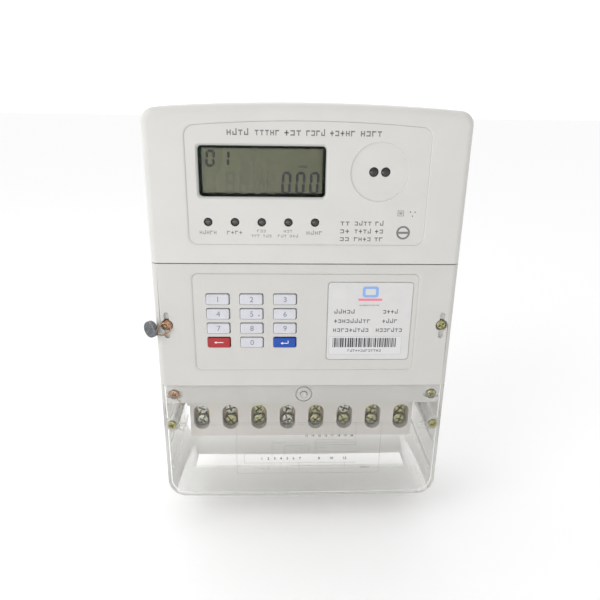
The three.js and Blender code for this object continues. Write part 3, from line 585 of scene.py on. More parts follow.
def cutBand(shell):
    # screw eyes, switch recess and the slots that the clamp tabs pass
    wide, high, deep = mainCover["eyeSlot"]
    face = bandFace + deep
    for x, z in caseScrews:
        weld(shell, barrel("caseBoss", 8.2 * mm, x, z, face + 2 * wall, bandFace + wall / 2))
    for x, z in keypadScrews:
        weld(shell, barrel("deckBoss", 7.4 * mm, x, z, deckFace + 6 * mm, deckFace - 3 * mm))
    outer, inner, depth = mainCover["switchGroove"]
    groove = barrel("switchGroove", outer, switchX, switchZ, bandFace + depth, front - past, 64)
    core = barrel("grooveCore", inner, switchX, switchZ, bandFace + depth + mm, front - past - mm, 64)
    carve(groove, core)
    eyes = [slotShape("eyeSlot", x, z, wide, high, face, front - past) for x, z in caseScrews]
    carve(shell, *eyes, groove)
    seats = [barrel("headHole", mainCover["headHole"], x, z, face + mm, front) for x, z in caseScrews]
    carve(shell, *seats, barrel("switchHole", mainCover["switchHole"], switchX, switchZ, bandFace + 2 * wall,
                                front))
    carve(shell, *[barrel("shankHole", mainCover["shankHole"], x, z, deckFace + 11 * mm, front - past)
                   for x, z in keypadScrews + caseScrews])
    return carve(shell, *[tabSlot(x, bandBottom - mm, bandBottom + wall + mm) for (x, z), _ in terminals])


def makeMainCover():
    shell = cutBand(mainShell())
    carve(shell, panelCutter(upperSeam + mainCover["panelLow"], caseTop - mainCover["panelTop"],
                             mainCover["panelCorner"], mainCover["panelSlope"], outline["topArch"]))
    carve(shell, displayCutter())
    holes = [barrel("lampHole", mainCover["lampDiameter"], x, lampZ, front + 8 * mm, front - 2 * mm)
             for x in lampXs]
    for side in (-1, 1):
        holes.append(barrel("eye", mainCover["eyeDiameter"], portX + side * mainCover["eyeSpacing"] / 2,
                            portZ, front + 8 * mm, front - 2 * mm))
    carve(shell, barrel("ring", mainCover["ringDiameter"], portX, portZ,
                        panelFace + mainCover["ringDepth"], front - 2 * mm, 96))
    carve(shell, *holes)
    return soften(shell, mainCover["edge"])


stand(dress(makeMainCover(), coverLook), "case", "cover_plastic", "front_case")
print("main cover made")


# panel printing

panelPrint = {
    "titleHeight": 3.5 * mm, "titleZ": 110.2 * mm,
    "title": [(-43.4, -31.2), (-28.6, -15.0), (-13.0, -3.4), (-1.4, 9.2), (11.2, 25.2), (27.6, 39.6)],
    "captionHeight": 2.5 * mm, "captionDrop": 5.6 * mm, "captionWidths": (9.8, 9.0, 5.2, 5.2, 9.4),
    "secondDrop": 8.0 * mm, "secondWidths": (0, 0, 11.6, 11.8, 0), "smallHeight": 1.85 * mm,
    "dataHeight": 2.8 * mm, "dataPitch": 4.5 * mm, "data": [(18.6, 24.4), (26.6, 36.6), (38.2, 43.4)],
    "signX": 54.2 * mm, "signDrop": 5.4 * mm, "signSize": 7.8 * mm, "iconRise": 5.6 * mm,
}


def mmPairs(pairs):
    return [(a * mm, b * mm) for a, b in pairs]


def ringMark(name, outer, inner, x, z, y, thick=0.04 * mm):
    ring = barrel(name, outer, x, z, y + thick / 4, y - thick * 0.75)
    return carve(ring, barrel("ringHole", inner, x, z, y + thick, y - thick * 2))


def makePanelPrint():
    p = panelPrint
    y = panelFace
    dark = [wordMarks("title", mmPairs(p["title"]), p["titleZ"], p["titleHeight"], y, 5)]
    for row in range(3):
        dark.append(wordMarks("data", mmPairs(p["data"]), lampZ - row * p["dataPitch"],
                              p["dataHeight"], y, 20 + row))
    sign = ringMark("sign", p["signSize"], p["signSize"] * 0.72, p["signX"], lampZ - p["signDrop"], y)
    dark.append(weld(sign, stroke("signBar", p["signX"], lampZ - p["signDrop"],
                                  p["signSize"] * 0.9, p["signSize"] * 0.16, y, 0.05 * mm)))
    for i in range(3):
        angle = math.pi / 2 + i * math.tau / 3
        dark.append(barrel("dot", 0.8 * mm, p["signX"] + 4.6 * mm - 1.5 * mm * math.cos(angle),
                           lampZ + p["iconRise"] - 1.5 * mm * math.sin(angle),
                           y + 0.01 * mm, y - 0.03 * mm, 16))
    pale = []
    for i, x in enumerate(lampXs):
        half = p["captionWidths"][i] * mm / 2
        drop = p["captionDrop"] - (0.9 * mm if p["secondWidths"][i] else 0)
        size = p["smallHeight"] if p["secondWidths"][i] else p["captionHeight"]
        pale.append(wordMarks("caption", [(x - half, x + half)], lampZ - drop, size, y, 30 + i))
        if p["secondWidths"][i]:
            half = p["secondWidths"][i] * mm / 2
            pale.append(wordMarks("caption", [(x - half, x - half * 0.1), (x + half * 0.1, x + half)],
                                  lampZ - p["secondDrop"] + 0.5 * mm, size, y, 40 + i))
    frameX, frameZ = p["signX"] - 2.1 * mm, lampZ + p["iconRise"]
    square = stroke("icon", frameX, frameZ, 3.6 * mm, 3.2 * mm, y)
    pale.append(carve(square, block("iconHole", (frameX - 1.4 * mm, y - mm, frameZ - 1.2 * mm),
                                    (frameX + 1.4 * mm, y + mm, frameZ + 1.2 * mm))))
    pale.append(stroke("iconCore", frameX, frameZ, 1.7 * mm, 1.3 * mm, y))
    darkPrint = dress(together(dark), greyInk)
    darkPrint.name = "panel_print"
    palePrint = dress(together(pale), paleInk)
    palePrint.name = "caption_print"
    return darkPrint, palePrint


for printed in makePanelPrint():
    stand(printed, "case", "cover_plastic")
print("panel printing made")


# display

display = {
    "smallHeight": 9.2 * mm, "smallWidth": 5.2 * mm, "smallPitch": 7.9 * mm,
    "largeHeight": 12.4 * mm, "largeWidth": 5.3 * mm, "largePitch": 7.7 * mm,
    "bar": 1.5 * mm, "gap": 0.3 * mm, "lean": 0.07, "thick": 0.03 * mm,
}
litBars = {"0": "abcdef", "1": "bc", "2": "abged", "8": "abcdefg"}


def figure(text, x, z, width, height, y):
    # seven bars round two squares, leaning a little to the right
    half = height / 2
    bar, gap = display["bar"], display["gap"]
    spots = {
        "a": (0, half, "x"), "g": (0, 0, "x"), "d": (0, -half, "x"),
        "f": (-width / 2, half / 2, "z"), "b": (width / 2, half / 2, "z"),
        "e": (-width / 2, -half / 2, "z"), "c": (width / 2, -half / 2, "z"),
    }
    bars = []
    for key in litBars[text]:
        dx, dz, along = spots[key]
        length = (width if along == "x" else half) - gap
        piece = block("bar", (-length / 2, -display["thick"] / 2, -bar / 2),
                      (length / 2, display["thick"] / 2, bar / 2))
        roundEdges(piece, alongDepth, bar * 0.42, 1)
        if along == "z":
            piece.data.transform(Matrix.Rotation(math.pi / 2, 4, "Y"))
        piece.data.transform(Matrix.Translation((dx + dz * display["lean"], 0, dz)))
        bars.append(piece)
    whole = together(bars)
    whole.data.transform(Matrix.Translation((x, y, z)))
    return whole


def lcdLook():
    # reflective liquid crystal: grey green, with painted shade darkening it round the rim, faintly streaked
    low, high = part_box("display_panel")
    look = Look("liquidCrystal", Specular_IOR_Level=0.5, Coat_Roughness=0.06)
    across = look.node("ShaderNodeSeparateXYZ", {}, {"Vector": look.place}, "X")
    upward = look.node("ShaderNodeSeparateXYZ", {}, {"Vector": look.place}, "Z")
    middle = (low + high) / 2
    reach = (high - low) / 2
    sideways = (across - middle.x) * (1 / reach.x)
    lengthways = (upward - middle.z) * (1 / reach.z)
    fromSide = look.node("ShaderNodeMath", {"operation": "ABSOLUTE"}, {0: sideways})
    fromEdge = look.node("ShaderNodeMath", {"operation": "ABSOLUTE"}, {0: lengthways})
    rim = look.node("ShaderNodeMath", {"operation": "MAXIMUM"}, {0: fromSide, 1: fromEdge})
    cloud = look.noise(14 * mm, 2, (1, 1, 0.4))
    # painted shade: the crystal is darkened towards its rim, as if shaded by the window's frame
    shadow = look.mask(rim + cloud * 0.10, 0.95, 1.12)
    tone = look.blend(look.mask(cloud, 0.35, 0.7), (0.196, 0.20, 0.108), (0.25, 0.256, 0.146))
    base = look.blend(shadow * 0.7, tone, (0.09, 0.093, 0.07))
    look.feed(Base_Color=base, Roughness=look.mask(cloud, 0.2, 0.8) * 0.08 + 0.22)
    return look.material


def windowLook():
    # clear acrylic: the reflection is mixed over what lies behind
    look = Look("windowAcrylic", Base_Color=(0.14, 0.14, 0.13))
    scuff = look.noise(3 * mm, 4, (1, 1, 2), 0.65)
    look.feed(Roughness=look.mask(scuff, 0.4, 0.8) * 0.08 + 0.03)
    return clearMix(look, (0.985, 0.99, 0.98), 0.0, 1.46)


def clearMix(look, tint, least, index, hazeAndShade=None):
    seeThrough = look.node("ShaderNodeBsdfTransparent", {}, {"Color": tint})
    edge = look.node("ShaderNodeFresnel", {}, {"IOR": index})
    share = edge + least if hazeAndShade is None else edge + least + hazeAndShade
    mix = look.node("ShaderNodeMixShader", {}, {0: share, 1: seeThrough,
                                                2: Value(look, look.shader.outputs[0])})
    look.plug(look.output.inputs["Surface"], mix)
    return look.material


def makeDisplay():
    low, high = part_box("display_panel")
    d = display
    panel = roundedPlate("display_panel_glass", low, high, 0.6 * mm, 4)
    soften(panel, 0.12 * mm)
    dress(panel, lcdLook())
    inner = windowInner()
    y = low.y - d["thick"] * 0.4
    smallZ = inner[1].z - 2.4 * mm - d["smallHeight"] / 2
    smallX = inner[0].x + 3.6 * mm + d["smallWidth"] / 2
    figures = [figure("0", smallX, smallZ, d["smallWidth"] - d["bar"], d["smallHeight"] - d["bar"], y),
               figure("1", smallX + d["smallPitch"], smallZ, d["smallWidth"] - d["bar"],
                      d["smallHeight"] - d["bar"], y)]
    largeZ = inner[0].z + 0.9 * mm + d["largeHeight"] / 2
    lastX = inner[1].x - 3.2 * mm - d["largeWidth"] / 2
    for i in range(3):
        figures.append(figure("0", lastX - i * d["largePitch"], largeZ, d["largeWidth"] - d["bar"],
                              d["largeHeight"] - d["bar"], y))
    figures.append(stroke("point", lastX - 1.5 * d["largePitch"] - 0.4 * mm, largeZ - d["largeHeight"] / 2
                          + 0.6 * mm, 1.0 * mm, 1.0 * mm, low.y))
    unitX = inner[1].x - 12.2 * mm
    figures.append(wordMarks("unit", [(unitX - 2.7 * mm, unitX + 2.7 * mm)], inner[1].z - 10.7 * mm,
                             1.9 * mm, low.y, 9))
    segments = dress(together(figures), inkLook("segmentInk", (0.012, 0.014, 0.012), 0.35))
    segments.name = "display_figures"
    ghosts = [figure("8", lastX - i * d["largePitch"], largeZ, d["largeWidth"] - d["bar"],
                     d["largeHeight"] - d["bar"], y + 0.006 * mm) for i in range(3, 7)]
    ghost = dress(together(ghosts), inkLook("ghostInk", (0.185, 0.19, 0.106), 0.3))
    ghost.name = "display_idle_figures"
    return panel, segments, ghost


def makeWindow():
    inner = windowInner()
    low, high = windowLow, windowHigh
    seat = front + mainCover["wall"] + 0.3 * mm
    pane = roundedPlate("display_window_pane", (inner[0].x + 0.3 * mm, low.y, inner[0].z + 0.3 * mm),
                        (inner[1].x - 0.3 * mm, seat + 0.4 * mm, inner[1].z - 0.3 * mm), 1.7 * mm, 8)
    flange = roundedPlate("flange", (low.x, seat, low.z), high, 2 * mm, 8)
    weld(pane, flange)
    return soften(pane, 0.25 * mm, 3)


panelGlass, figures, idleFigures = makeDisplay()
stand(panelGlass, "case", "display", "display_panel")
stand(figures, "case", "display")
stand(idleFigures, "case", "display")
stand(dress(makeWindow(), windowLook()), "case", "clear_plastic", "display_window")
print("display made")


# lamps and optical port

lamps = {"recess": 0.9 * mm, "dome": 0.5 * mm, "diameter": 4.2 * mm, "bar": 2.4 * mm}


def smokedLook(name, colour, roughness=0.12):
    look = Look(name, Coat_Weight=0.3, Coat_Roughness=0.05)
    cloud = look.noise(1.2 * mm, 2)
    look.feed(Base_Color=look.blend(look.mask(cloud, 0.3, 0.7), colour, shade(colour, 1.5)),
              Roughness=look.mask(cloud, 0.2, 0.8) * 0.1 + roughness)
    return look.material


def domed(name, diameter, x, z, yBack, yFace, rise, sides=40):
    # a round bar whose face swells forward
    piece = barrel(name, diameter, x, z, yBack, yFace, sides)
    choose(piece, "FACE", atDepth(yFace))
    for share in (0.25, 0.3, 0.4):
        bpy.ops.mesh.inset(thickness=diameter / 2 * share * 0.7, depth=rise * share)
    leaveEdit()
    return piece


def makeLamps():
    seat = front + mainCover["wall"] + 0.3 * mm
    bar = roundedPlate("indicator_lenses", (guideLow.x, seat, guideLow.z),
                       (guideHigh.x, seat + lamps["bar"], guideHigh.z), mm, 4)
    for x in lampXs:
        weld(bar, domed("lens", lamps["diameter"], x, lampZ, seat + 0.5 * mm,
                        front + lamps["recess"] + lamps["dome"], lamps["dome"]))
    return soften(bar, 0.1 * mm)


def makePortLens():
    seat = front + mainCover["wall"] + 0.3 * mm
    face = panelFace + mainCover["ringDepth"] + 0.3 * mm
    disc = barrel("port_lens", lensHigh.x - lensLow.x, portX, portZ, lensHigh.y, seat)
    for side in (-1, 1):
        weld(disc, domed("eyeLens", mainCover["eyeDiameter"] - 0.6 * mm,
                         portX + side * mainCover["eyeSpacing"] / 2, portZ, seat + 0.5 * mm,
                         face + 0.3 * mm, 0.3 * mm))
    return soften(disc, 0.1 * mm)


def makePortPlate():
    low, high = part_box("optical_plate")
    plate = barrel("port_plate", high.x - low.x, portX, portZ, high.y, low.y, 72)
    carve(plate, barrel("plateHole", 13 * mm, portX, portZ, high.y + mm, low.y - mm, 48))
    return soften(plate, 0.2 * mm)


smokedLens = smokedLook("smokedLens", (0.022, 0.022, 0.022))
infraredLens = smokedLook("infraredLens", (0.016, 0.012, 0.012), 0.08)
stand(dress(makeLamps(), smokedLens), "case", "lamp_plastic", "light_guide")
stand(dress(makePortLens(), infraredLens), "case", "dark_lens", "optical_lens")


def metalLook(name, colour, roughness, tint=None, grain=0.25 * mm, scratch=0.006 * mm, stretch=(1, 1, 1)):
    # worked metal: patches of a second tone, fine marks and uneven gloss
    look = Look(name, Metallic=1.0)
    patch = look.noise(1.6 * mm, 3)
    marks = look.noise(grain, 3, stretch, 0.65)
    base = look.blend(look.mask(patch, 0.38, 0.62), colour, tint or shade(colour, 0.8))
    base = look.blend(look.mask(marks, 0.55, 0.8) * 0.35, base, shade(colour, 0.55))
    look.feed(Base_Color=base, Roughness=look.mask(marks, 0.25, 0.75) * 0.2 + (roughness - 0.1),
              Normal=look.bump(marks, scratch, 0.7))
    return look.material


steelLook = metalLook("platedSteel", (0.56, 0.56, 0.55), 0.34, (0.48, 0.49, 0.50), 0.4 * mm,
                      0.01 * mm, (1, 1, 0.15))
zincLook = metalLook("passivatedZinc", (0.44, 0.40, 0.19), 0.30, (0.30, 0.31, 0.18))
silverLook = metalLook("nickelScrew", (0.52, 0.51, 0.45), 0.26, (0.36, 0.37, 0.30))
copperLook = metalLook("bareCopper", (0.56, 0.34, 0.21), 0.32, (0.36, 0.22, 0.14))
brassLook = metalLook("platedBrass", (0.40, 0.31, 0.17), 0.36, (0.28, 0.23, 0.14), 0.35 * mm, 0.012 * mm)
leadLook = metalLook("castLead", (0.27, 0.28, 0.29), 0.5, (0.18, 0.19, 0.20), 0.5 * mm, 0.03 * mm)
stand(dress(makePortPlate(), steelLook), "case", "steel", "optical_plate")
print("lamps and port made")


# keypad cover

keypadCover = {
    "panelLow": -30.2 * mm, "panelHigh": 32.6 * mm, "panelCorner": 3.2 * mm, "slope": 1.7 * mm,
    "edge": 0.25 * mm, "bossGap": 3.3 * mm,
    "keyHole": (13.9 * mm, 7 * mm), "keyCorner": 1.0 * mm, "labelGap": 0.45 * mm, "labelCorner": 2.1 * mm,
    "screwSlot": (2.9 * mm, 16.4 * mm, 1.9 * mm), "headHole": 7.2 * mm, "bossDiameter": 10.6 * mm,
}
keyNames = ["key_%s" % tag for tag in "1 2 3 4 5 6 7 8 9 delete 0 enter".split()]
labelLow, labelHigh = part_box("rating_label")


def makeKeypadCover():
    k = keypadCover
    cover = bodyPart("keypad_cover_shell", 0, lowerSeam, keypadHigh.z, keypadHigh.y, front)
    carve(cover, bodyPart("keypadInside", wall, lowerSeam + wall, keypadHigh.z - wall, keypadHigh.y + past,
                          front + wall))
    for x, z in keypadScrews:
        weld(cover, barrel("boss", k["bossDiameter"], x, z, deckFace - k["bossGap"],
                           front + wall - 0.5 * mm, 40))
    carve(cover, panelCutter(k["panelLow"], k["panelHigh"], k["panelCorner"], k["slope"], 0))
    gap = k["labelGap"]
    labelX, labelZ = middleOf("rating_label")
    wide, high = k["keyHole"]
    holes = [plateAt("keyHole", *middleOf(name), wide, high, k["keyCorner"], front + past, front - past)
             for name in keyNames]
    holes.append(plateAt("labelRecess", labelX, labelZ, labelHigh.x - labelLow.x + 2 * gap,
                         labelHigh.z - labelLow.z + 2 * gap, k["labelCorner"], front + mm, front - past, 8))
    carve(cover, *holes)
    wide, high, deep = k["screwSlot"]
    carve(cover, *[slotShape("screwSlot", x, z, wide, high, front + deep, front - past)
                   for x, z in keypadScrews])
    carve(cover, *[barrel("headHole", k["headHole"], x, z, front + 3.3 * mm, front - past)
                   for x, z in keypadScrews])
    carve(cover, *[barrel("shankHole", mainCover["shankHole"], x, z, deckFace + past, front - past)
                   for x, z in keypadScrews])
    return soften(cover, k["edge"])


stand(dress(makeKeypadCover(), keypadLook), "case", "keypad_plastic", "keypad_cover")
print("keypad cover made")


# keys

keys = {
    "cap": (13.1 * mm, 6.25 * mm), "shift": (-0.2 * mm, -0.18 * mm), "corner": 0.95 * mm,
    "brow": 0.3 * mm, "pillow": 0.12 * mm,
    "flange": (15.2 * mm, 8.3 * mm, 1.0 * mm), "stem": (6 * mm, 3.6 * mm), "seat": 2.7 * mm,
    "figureHeight": 3.3 * mm,
}


def keyLook(name, colour):
    look = Look(name, Specular_IOR_Level=0.45)
    cloud = look.noise(5 * mm, 2)
    grain = look.noise(0.25 * mm, 2)
    base = look.blend(look.mask(cloud, 0.3, 0.7), shade(colour, 0.94), shade(colour, 1.02))
    rough = look.mask(grain, 0.3, 0.7) * 0.08 + look.mask(cloud, 0.3, 0.8) * 0.06 + 0.3
    look.feed(Base_Color=base, Roughness=rough, Normal=look.bump(grain, 0.005 * mm, 0.6))
    return look.material


def makeKeyCap():
    # face at the origin, looking forward
    k = keys
    wide, high = k["cap"]
    nodeLow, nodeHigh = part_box("key_5")
    cap = plateAt("keyCap", *k["shift"], wide, high, k["corner"], k["seat"] + 0.5 * mm, k["pillow"])
    roundEdges(cap, atDepth(k["pillow"]), k["brow"], 3)
    choose(cap, "FACE", atDepth(k["pillow"]))
    bpy.ops.mesh.inset(thickness=0.25 * mm, depth=k["pillow"] * 0.75)
    bpy.ops.mesh.inset(thickness=0.2 * mm, depth=k["pillow"] * 0.25)
    leaveEdit()
    wide, high, thick = k["flange"]
    weld(cap, plateAt("flange", 0, 0, wide, high, 0.5 * mm, k["seat"] + thick, k["seat"], 3))
    wide, high = k["stem"]
    weld(cap, plateAt("stem", 0, 0, wide, high, 0.4 * mm, nodeHigh.y - nodeLow.y, k["seat"] + thick / 2, 3))
    return soften(cap, 0)


def arrowMark(name, x, z, length, height, y, hook=0.0):
    # an arrow to the left; with a hook it is the return mark
    head = barrel("arrowHead", height, x - length / 2 + height * 0.3, z, y + 0.01 * mm, y - 0.03 * mm, 3)
    pivot = Matrix.Translation((x - length / 2 + height * 0.3, 0, z))
    head.data.transform(pivot @ Matrix.Rotation(-math.pi / 2, 4, "Y") @ pivot.inverted())
    marks = [head, stroke(name, x + height * 0.15, z, length - height * 0.5, height * 0.24, y)]
    if hook:
        marks.append(stroke(name, x + length / 2 - height * 0.22, z + hook / 2, height * 0.24, hook, y))
    return together(marks)


def keyMark(name, x, z, y):
    tag = name[4:]
    if tag == "delete":
        return arrowMark("mark", x, z, 5.2 * mm, 1.7 * mm, y), whiteInk
    if tag == "enter":
        return arrowMark("mark", x, z - 0.5 * mm, 4.6 * mm, 1.8 * mm, y, 1.7 * mm), whiteInk
    figureMesh = lettering("mark", tag, keys["figureHeight"], x, y, z)
    if tag == "5":
        pip = stroke("pip", x + 4.2 * mm, z - 0.9 * mm, 0.8 * mm, 0.7 * mm, y)
        figureMesh = together([figureMesh, pip])
    return figureMesh, keyInk


keyInk = inkLook("keyInk", (0.17, 0.18, 0.24))
keyFinishes = {
    "key_delete": (keyLook("keyRed", (0.385, 0.018, 0.022)), "key_red"),
    "key_enter": (keyLook("keyBlue", (0.002, 0.062, 0.37)), "key_blue"),
}
plainKey = (keyLook("keyWhite", (0.60, 0.605, 0.645)), "key_white")
keyCap = makeKeyCap()
for name in keyNames:
    x, z = middleOf(name)
    low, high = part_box(name)
    key = duplicate(keyCap, name + "_cap", (x, low.y, z))
    mark, ink = keyMark(name, x, z, low.y)
    finish, slotName = keyFinishes.get(name, plainKey)
    dress(key, finish)
    dress(mark, ink)
    stand(together([key, mark]), name, slotName, name)
bpy.data.objects.remove(keyCap)
print("keys made")


# rating label

label = {
    "left": labelLow.x, "top": labelHigh.z, "corner": 1.8 * mm, "rows": (-17.8, -23.8, -29.6),
    "rowHeight": 2.8 * mm,
    "words": [[(3.8, 16.4), (32.8, 42.0)], [(3.8, 25.9), (32.6, 42.0)], [(3.4, 25.2), (29.1, 45.3)]],
    "sticker": (1.2, 44.9, -34.0, -45.6), "bars": (3.4, 42.0, -34.9, -41.0), "serial": (12.6, 33.2, -43.1),
    "mark": (24.7, -6.6), "markWords": (18.6, 30.6, -13.9),
}


def labelLook():
    look = Look("labelFilm", Coat_Weight=0.2, Coat_Roughness=0.1)
    cloud = look.noise(9 * mm, 2)
    fibre = look.noise(0.3 * mm, 2)
    look.feed(Base_Color=look.blend(look.mask(cloud, 0.3, 0.7), (0.60, 0.595, 0.59), (0.63, 0.625, 0.62)),
              Roughness=look.mask(cloud, 0.2, 0.8) * 0.12 + 0.28, Normal=look.bump(fibre, 0.003 * mm, 0.5))
    return look.material


def makeLabel():
    plate = roundedPlate("rating_label_film", labelLow, labelHigh, label["corner"], 6)
    return dress(soften(plate, 0.04 * mm), labelLook())


def labelPoint(right, down):
    return label["left"] + right * mm, label["top"] + down * mm


def makeLabelPrint():
    y = labelLow.y
    rows = []
    for i, (row, words) in enumerate(zip(label["rows"], label["words"])):
        groups = [(label["left"] + a * mm, label["left"] + b * mm) for a, b in words]
        rows.append(wordMarks("row", groups, label["top"] + row * mm, label["rowHeight"], y, 60 + i))
    a, b, down = label["serial"]
    rows.append(wordMarks("serial", [(label["left"] + a * mm, label["left"] + b * mm)],
                          label["top"] + down * mm, 1.9 * mm, y - 0.03 * mm, 70))
    return dress(together(rows), inkLook("labelInk", (0.12, 0.12, 0.125)))


def makeBars():
    # dark bars of uneven widths
    draw = random.Random(8)
    a, b, top, bottom = label["bars"]
    at, bars = a, []
    while at < b - 0.9:
        width = draw.choice((0.36, 0.36, 0.62, 0.95))
        x, z = labelPoint(at + width / 2, (top + bottom) / 2)
        bars.append(stroke("bar", x, z, width * mm, (top - bottom) * mm, labelLow.y - 0.03 * mm))
        at += width + draw.choice((0.3, 0.4, 0.55, 0.7))
    return dress(together(bars), blackInk)


def makeSticker():
    a, b, top, bottom = label["sticker"]
    low, high = labelPoint(a, bottom), labelPoint(b, top)
    y = labelLow.y
    plate = roundedPlate("barcode_sticker", (low[0], y - 0.03 * mm, low[1]),
                         (high[0], y + 0.02 * mm, high[1]), 0.4 * mm, 3)
    edge = carve(roundedPlate("stickerEdge", (low[0] - 0.1 * mm, y - 0.015 * mm, low[1] - 0.1 * mm),
                              (high[0] + 0.1 * mm, y + 0.02 * mm, high[1] + 0.1 * mm), 0.5 * mm, 3),
                 roundedPlate("stickerHole", (low[0] + 0.05 * mm, y - mm, low[1] + 0.05 * mm),
                              (high[0] - 0.05 * mm, y + mm, high[1] - 0.05 * mm), 0.4 * mm, 3))
    return dress(plate, inkLook("stickerPaper", (0.63, 0.63, 0.635), 0.45)), dress(edge, paleInk)


def makeLabelMark():
    # a plain sign: a blue square outline over a red bar
    x, z = labelPoint(*label["mark"])
    y = labelLow.y
    squareZ = z + 0.9 * mm
    square = plateAt("squareSign", x, squareZ, 9.4 * mm, 6.8 * mm, 1.6 * mm, y + 0.01 * mm, y - 0.03 * mm)
    carve(square, plateAt("squareHole", x, squareZ, 6.2 * mm, 3.8 * mm, 0.8 * mm, y + mm, y - mm))
    bar = stroke("barSign", x, z - 3.9 * mm, 14 * mm, 1.4 * mm, y)
    a, b, down = label["markWords"]
    words = wordMarks("signWords", [(label["left"] + a * mm, label["left"] + b * mm)],
                      label["top"] + down * mm, 1.0 * mm, y, 81)
    return dress(square, blueInk), dress(bar, redInk), dress(words, greyInk)


stand(makeLabel(), "case", "label_film", "rating_label")
labelPieces = [makeLabelPrint(), makeBars(), *makeSticker(), *makeLabelMark()]
labelTitles = ["label_print", "barcode_bars", "barcode_sticker", "sticker_edge", "sign_square", "sign_bar",
               "sign_words"]
for piece, title in zip(labelPieces, labelTitles):
    piece.name = title
    stand(piece, "case", "label_film")
print("label made")


# rear case

rearCase = {
    "inset": 1.2 * mm, "split": -30 * mm, "earThickness": 5 * mm, "earHeight": 42 * mm, "holeRise": 9 * mm,
    "fixingHole": 6.2 * mm, "column": 8 * mm, "columnFront": front + 30.3 * mm, "screwHole": 4.2 * mm,
    "screwEnd": front + 42 * mm, "edge": 0.35 * mm, "hookLip": 0.9 * mm, "hookThickness": 1.8 * mm,
    "hookLipWidth": 2.4 * mm,
}
hookLow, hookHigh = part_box("hanging_hook")


def rearShell():
    r = rearCase
    inset, split = r["inset"], r["split"]
    shell = bodyPart("rear_shell", inset, lowerSeam, caseTop - inset, 0, split, highEnd=True, rounded=False)
    weld(shell, block("narrow", (-lowerHalf, split, bandBottom), (lowerHalf, 0, lowerSeam + wall)))
    lap = 0.5 * mm
    inside = bodyPart("rearInside", inset + wall, lowerSeam + wall, caseTop - inset - wall, -wall,
                      split - past, highEnd=True, rounded=False)
    # a thicker pad stays behind the hook's slideway
    carve(inside, block("hookPad", (hookLow.x - wall, -2 * wall - lap, hookLow.z - wall),
                        (hookHigh.x + wall, past, caseTop + past)))
    carve(shell, inside)
    carve(shell, block("narrowInside", (-lowerHalf + wall, split - past, bandBottom + wall),
                       (lowerHalf - wall, -wall, lowerSeam + 2 * wall)))
    return weld(shell, block("backPlate", (blockLow.x - lap, -wall, blockLow.z),
                             (blockHigh.x + lap, 0, bandBottom + lap)))


def trimSides(piece, half):
    return carve(piece, block("leftOf", (-0.2, -0.2, -0.2), (-half, 0.2, 0.2)),
                 block("rightOf", (half, -0.2, -0.2), (0.2, 0.2, 0.2)))


def makeRearCase():
    r = rearCase
    shell = rearShell()
    inner = blockHigh.x + 0.3 * mm
    earLow = bandBottom - r["earHeight"]
    for side, (x, z) in zip((-1, 1), coverScrews):
        ends = sorted((side * inner, side * lowerHalf))
        weld(shell, block("ear", (ends[0], -r["earThickness"], earLow),
                          (ends[1], 0, bandBottom + wall - 0.05 * mm)))
        weld(shell, trimSides(barrel("column", r["column"], x, z, -0.05 * mm, r["columnFront"]),
                              lowerHalf - 0.3 * mm))
    floor = -r["hookLip"] - r["hookThickness"] - 0.6 * mm
    slide = hookHigh.x + 0.3 * mm
    mouth = hookHigh.x - r["hookLipWidth"]
    recessLow = hookLow.z - 0.3 * mm
    carve(shell, block("slideway", (-slide, floor, recessLow), (slide, -r["hookLip"], caseTop + past)))
    carve(shell, block("mouth", (-mouth, floor, recessLow), (mouth, past, caseTop + past)))
    holes = [barrel("fixingHole", r["fixingHole"], side * (inner + lowerHalf) / 2, earLow + r["holeRise"],
                    past, -2 * past) for side in (-1, 1)]
    carve(shell, *holes, *[barrel("screwHole", r["screwHole"], x, z, r["screwEnd"], front)
                           for x, z in coverScrews])
    return soften(shell, r["edge"])


stand(dress(makeRearCase(), baseLook), "case", "base_plastic", "rear_case")
print("rear case made")


# terminal block

terminalBlock = {
    "corner": 1.5 * mm, "well": (10.5 * mm, 18.5 * mm), "entry": 8.6 * mm, "edge": 0.3 * mm,
    "clampHeight": 25 * mm, "clampDepth": 12 * mm, "gap": 0.3 * mm,
}
clampLow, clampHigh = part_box("phase_clamp_1")


def makeBlock():
    t = terminalBlock
    wide, high = t["well"]
    gap = t["gap"]
    halfClamp = (clampHigh.x - clampLow.x) / 2 + gap
    clampTop = clampLow.z + t["clampHeight"]
    clampBack = clampLow.y + t["clampDepth"]
    middleY = clampLow.y + t["clampDepth"] / 2
    body = roundedPlate("terminal_block_body", blockLow, blockHigh, t["corner"], 6)
    xs = [upper[0] for upper, _ in terminals]
    carve(body, *[slotShape("well", x, wellZ, wide, high, clampLow.y + 0.5 * mm, blockLow.y - past, 14)
                  for x in xs])
    carve(body, *[block("pocket", (x - halfClamp, clampLow.y - gap, clampLow.z - gap),
                        (x + halfClamp, clampBack + gap, clampTop + gap)) for x in xs])
    carve(body, *[upright("entry", t["entry"], x, middleY, blockLow.z - past, clampLow.z) for x in xs])
    carve(body, *[tabSlot(x, clampTop, blockHigh.z + past) for x in xs])
    return soften(body, t["edge"])


def blockLook():
    # glass-filled moulding, a little warm, with faint pink and green shifts
    look = Look("blockMoulding", Specular_IOR_Level=0.35)
    cloud = look.noise(22 * mm, 2)
    fibre = look.noise(0.5 * mm, 3, (3, 1, 1))
    base = look.blend(look.mask(cloud, 0.3, 0.7), (0.60, 0.585, 0.545), (0.64, 0.60, 0.575))
    base = look.blend(look.mask(fibre, 0.5, 0.8) * 0.2, base, (0.48, 0.47, 0.43))
    look.feed(Base_Color=base, Roughness=look.mask(fibre, 0.3, 0.7) * 0.1 + 0.5,
              Normal=look.bump(fibre, 0.02 * mm, 0.6))
    return look.material


stand(dress(makeBlock(), blockLook()), "case", "block_plastic", "terminal_block")
print("terminal block made")


# screws

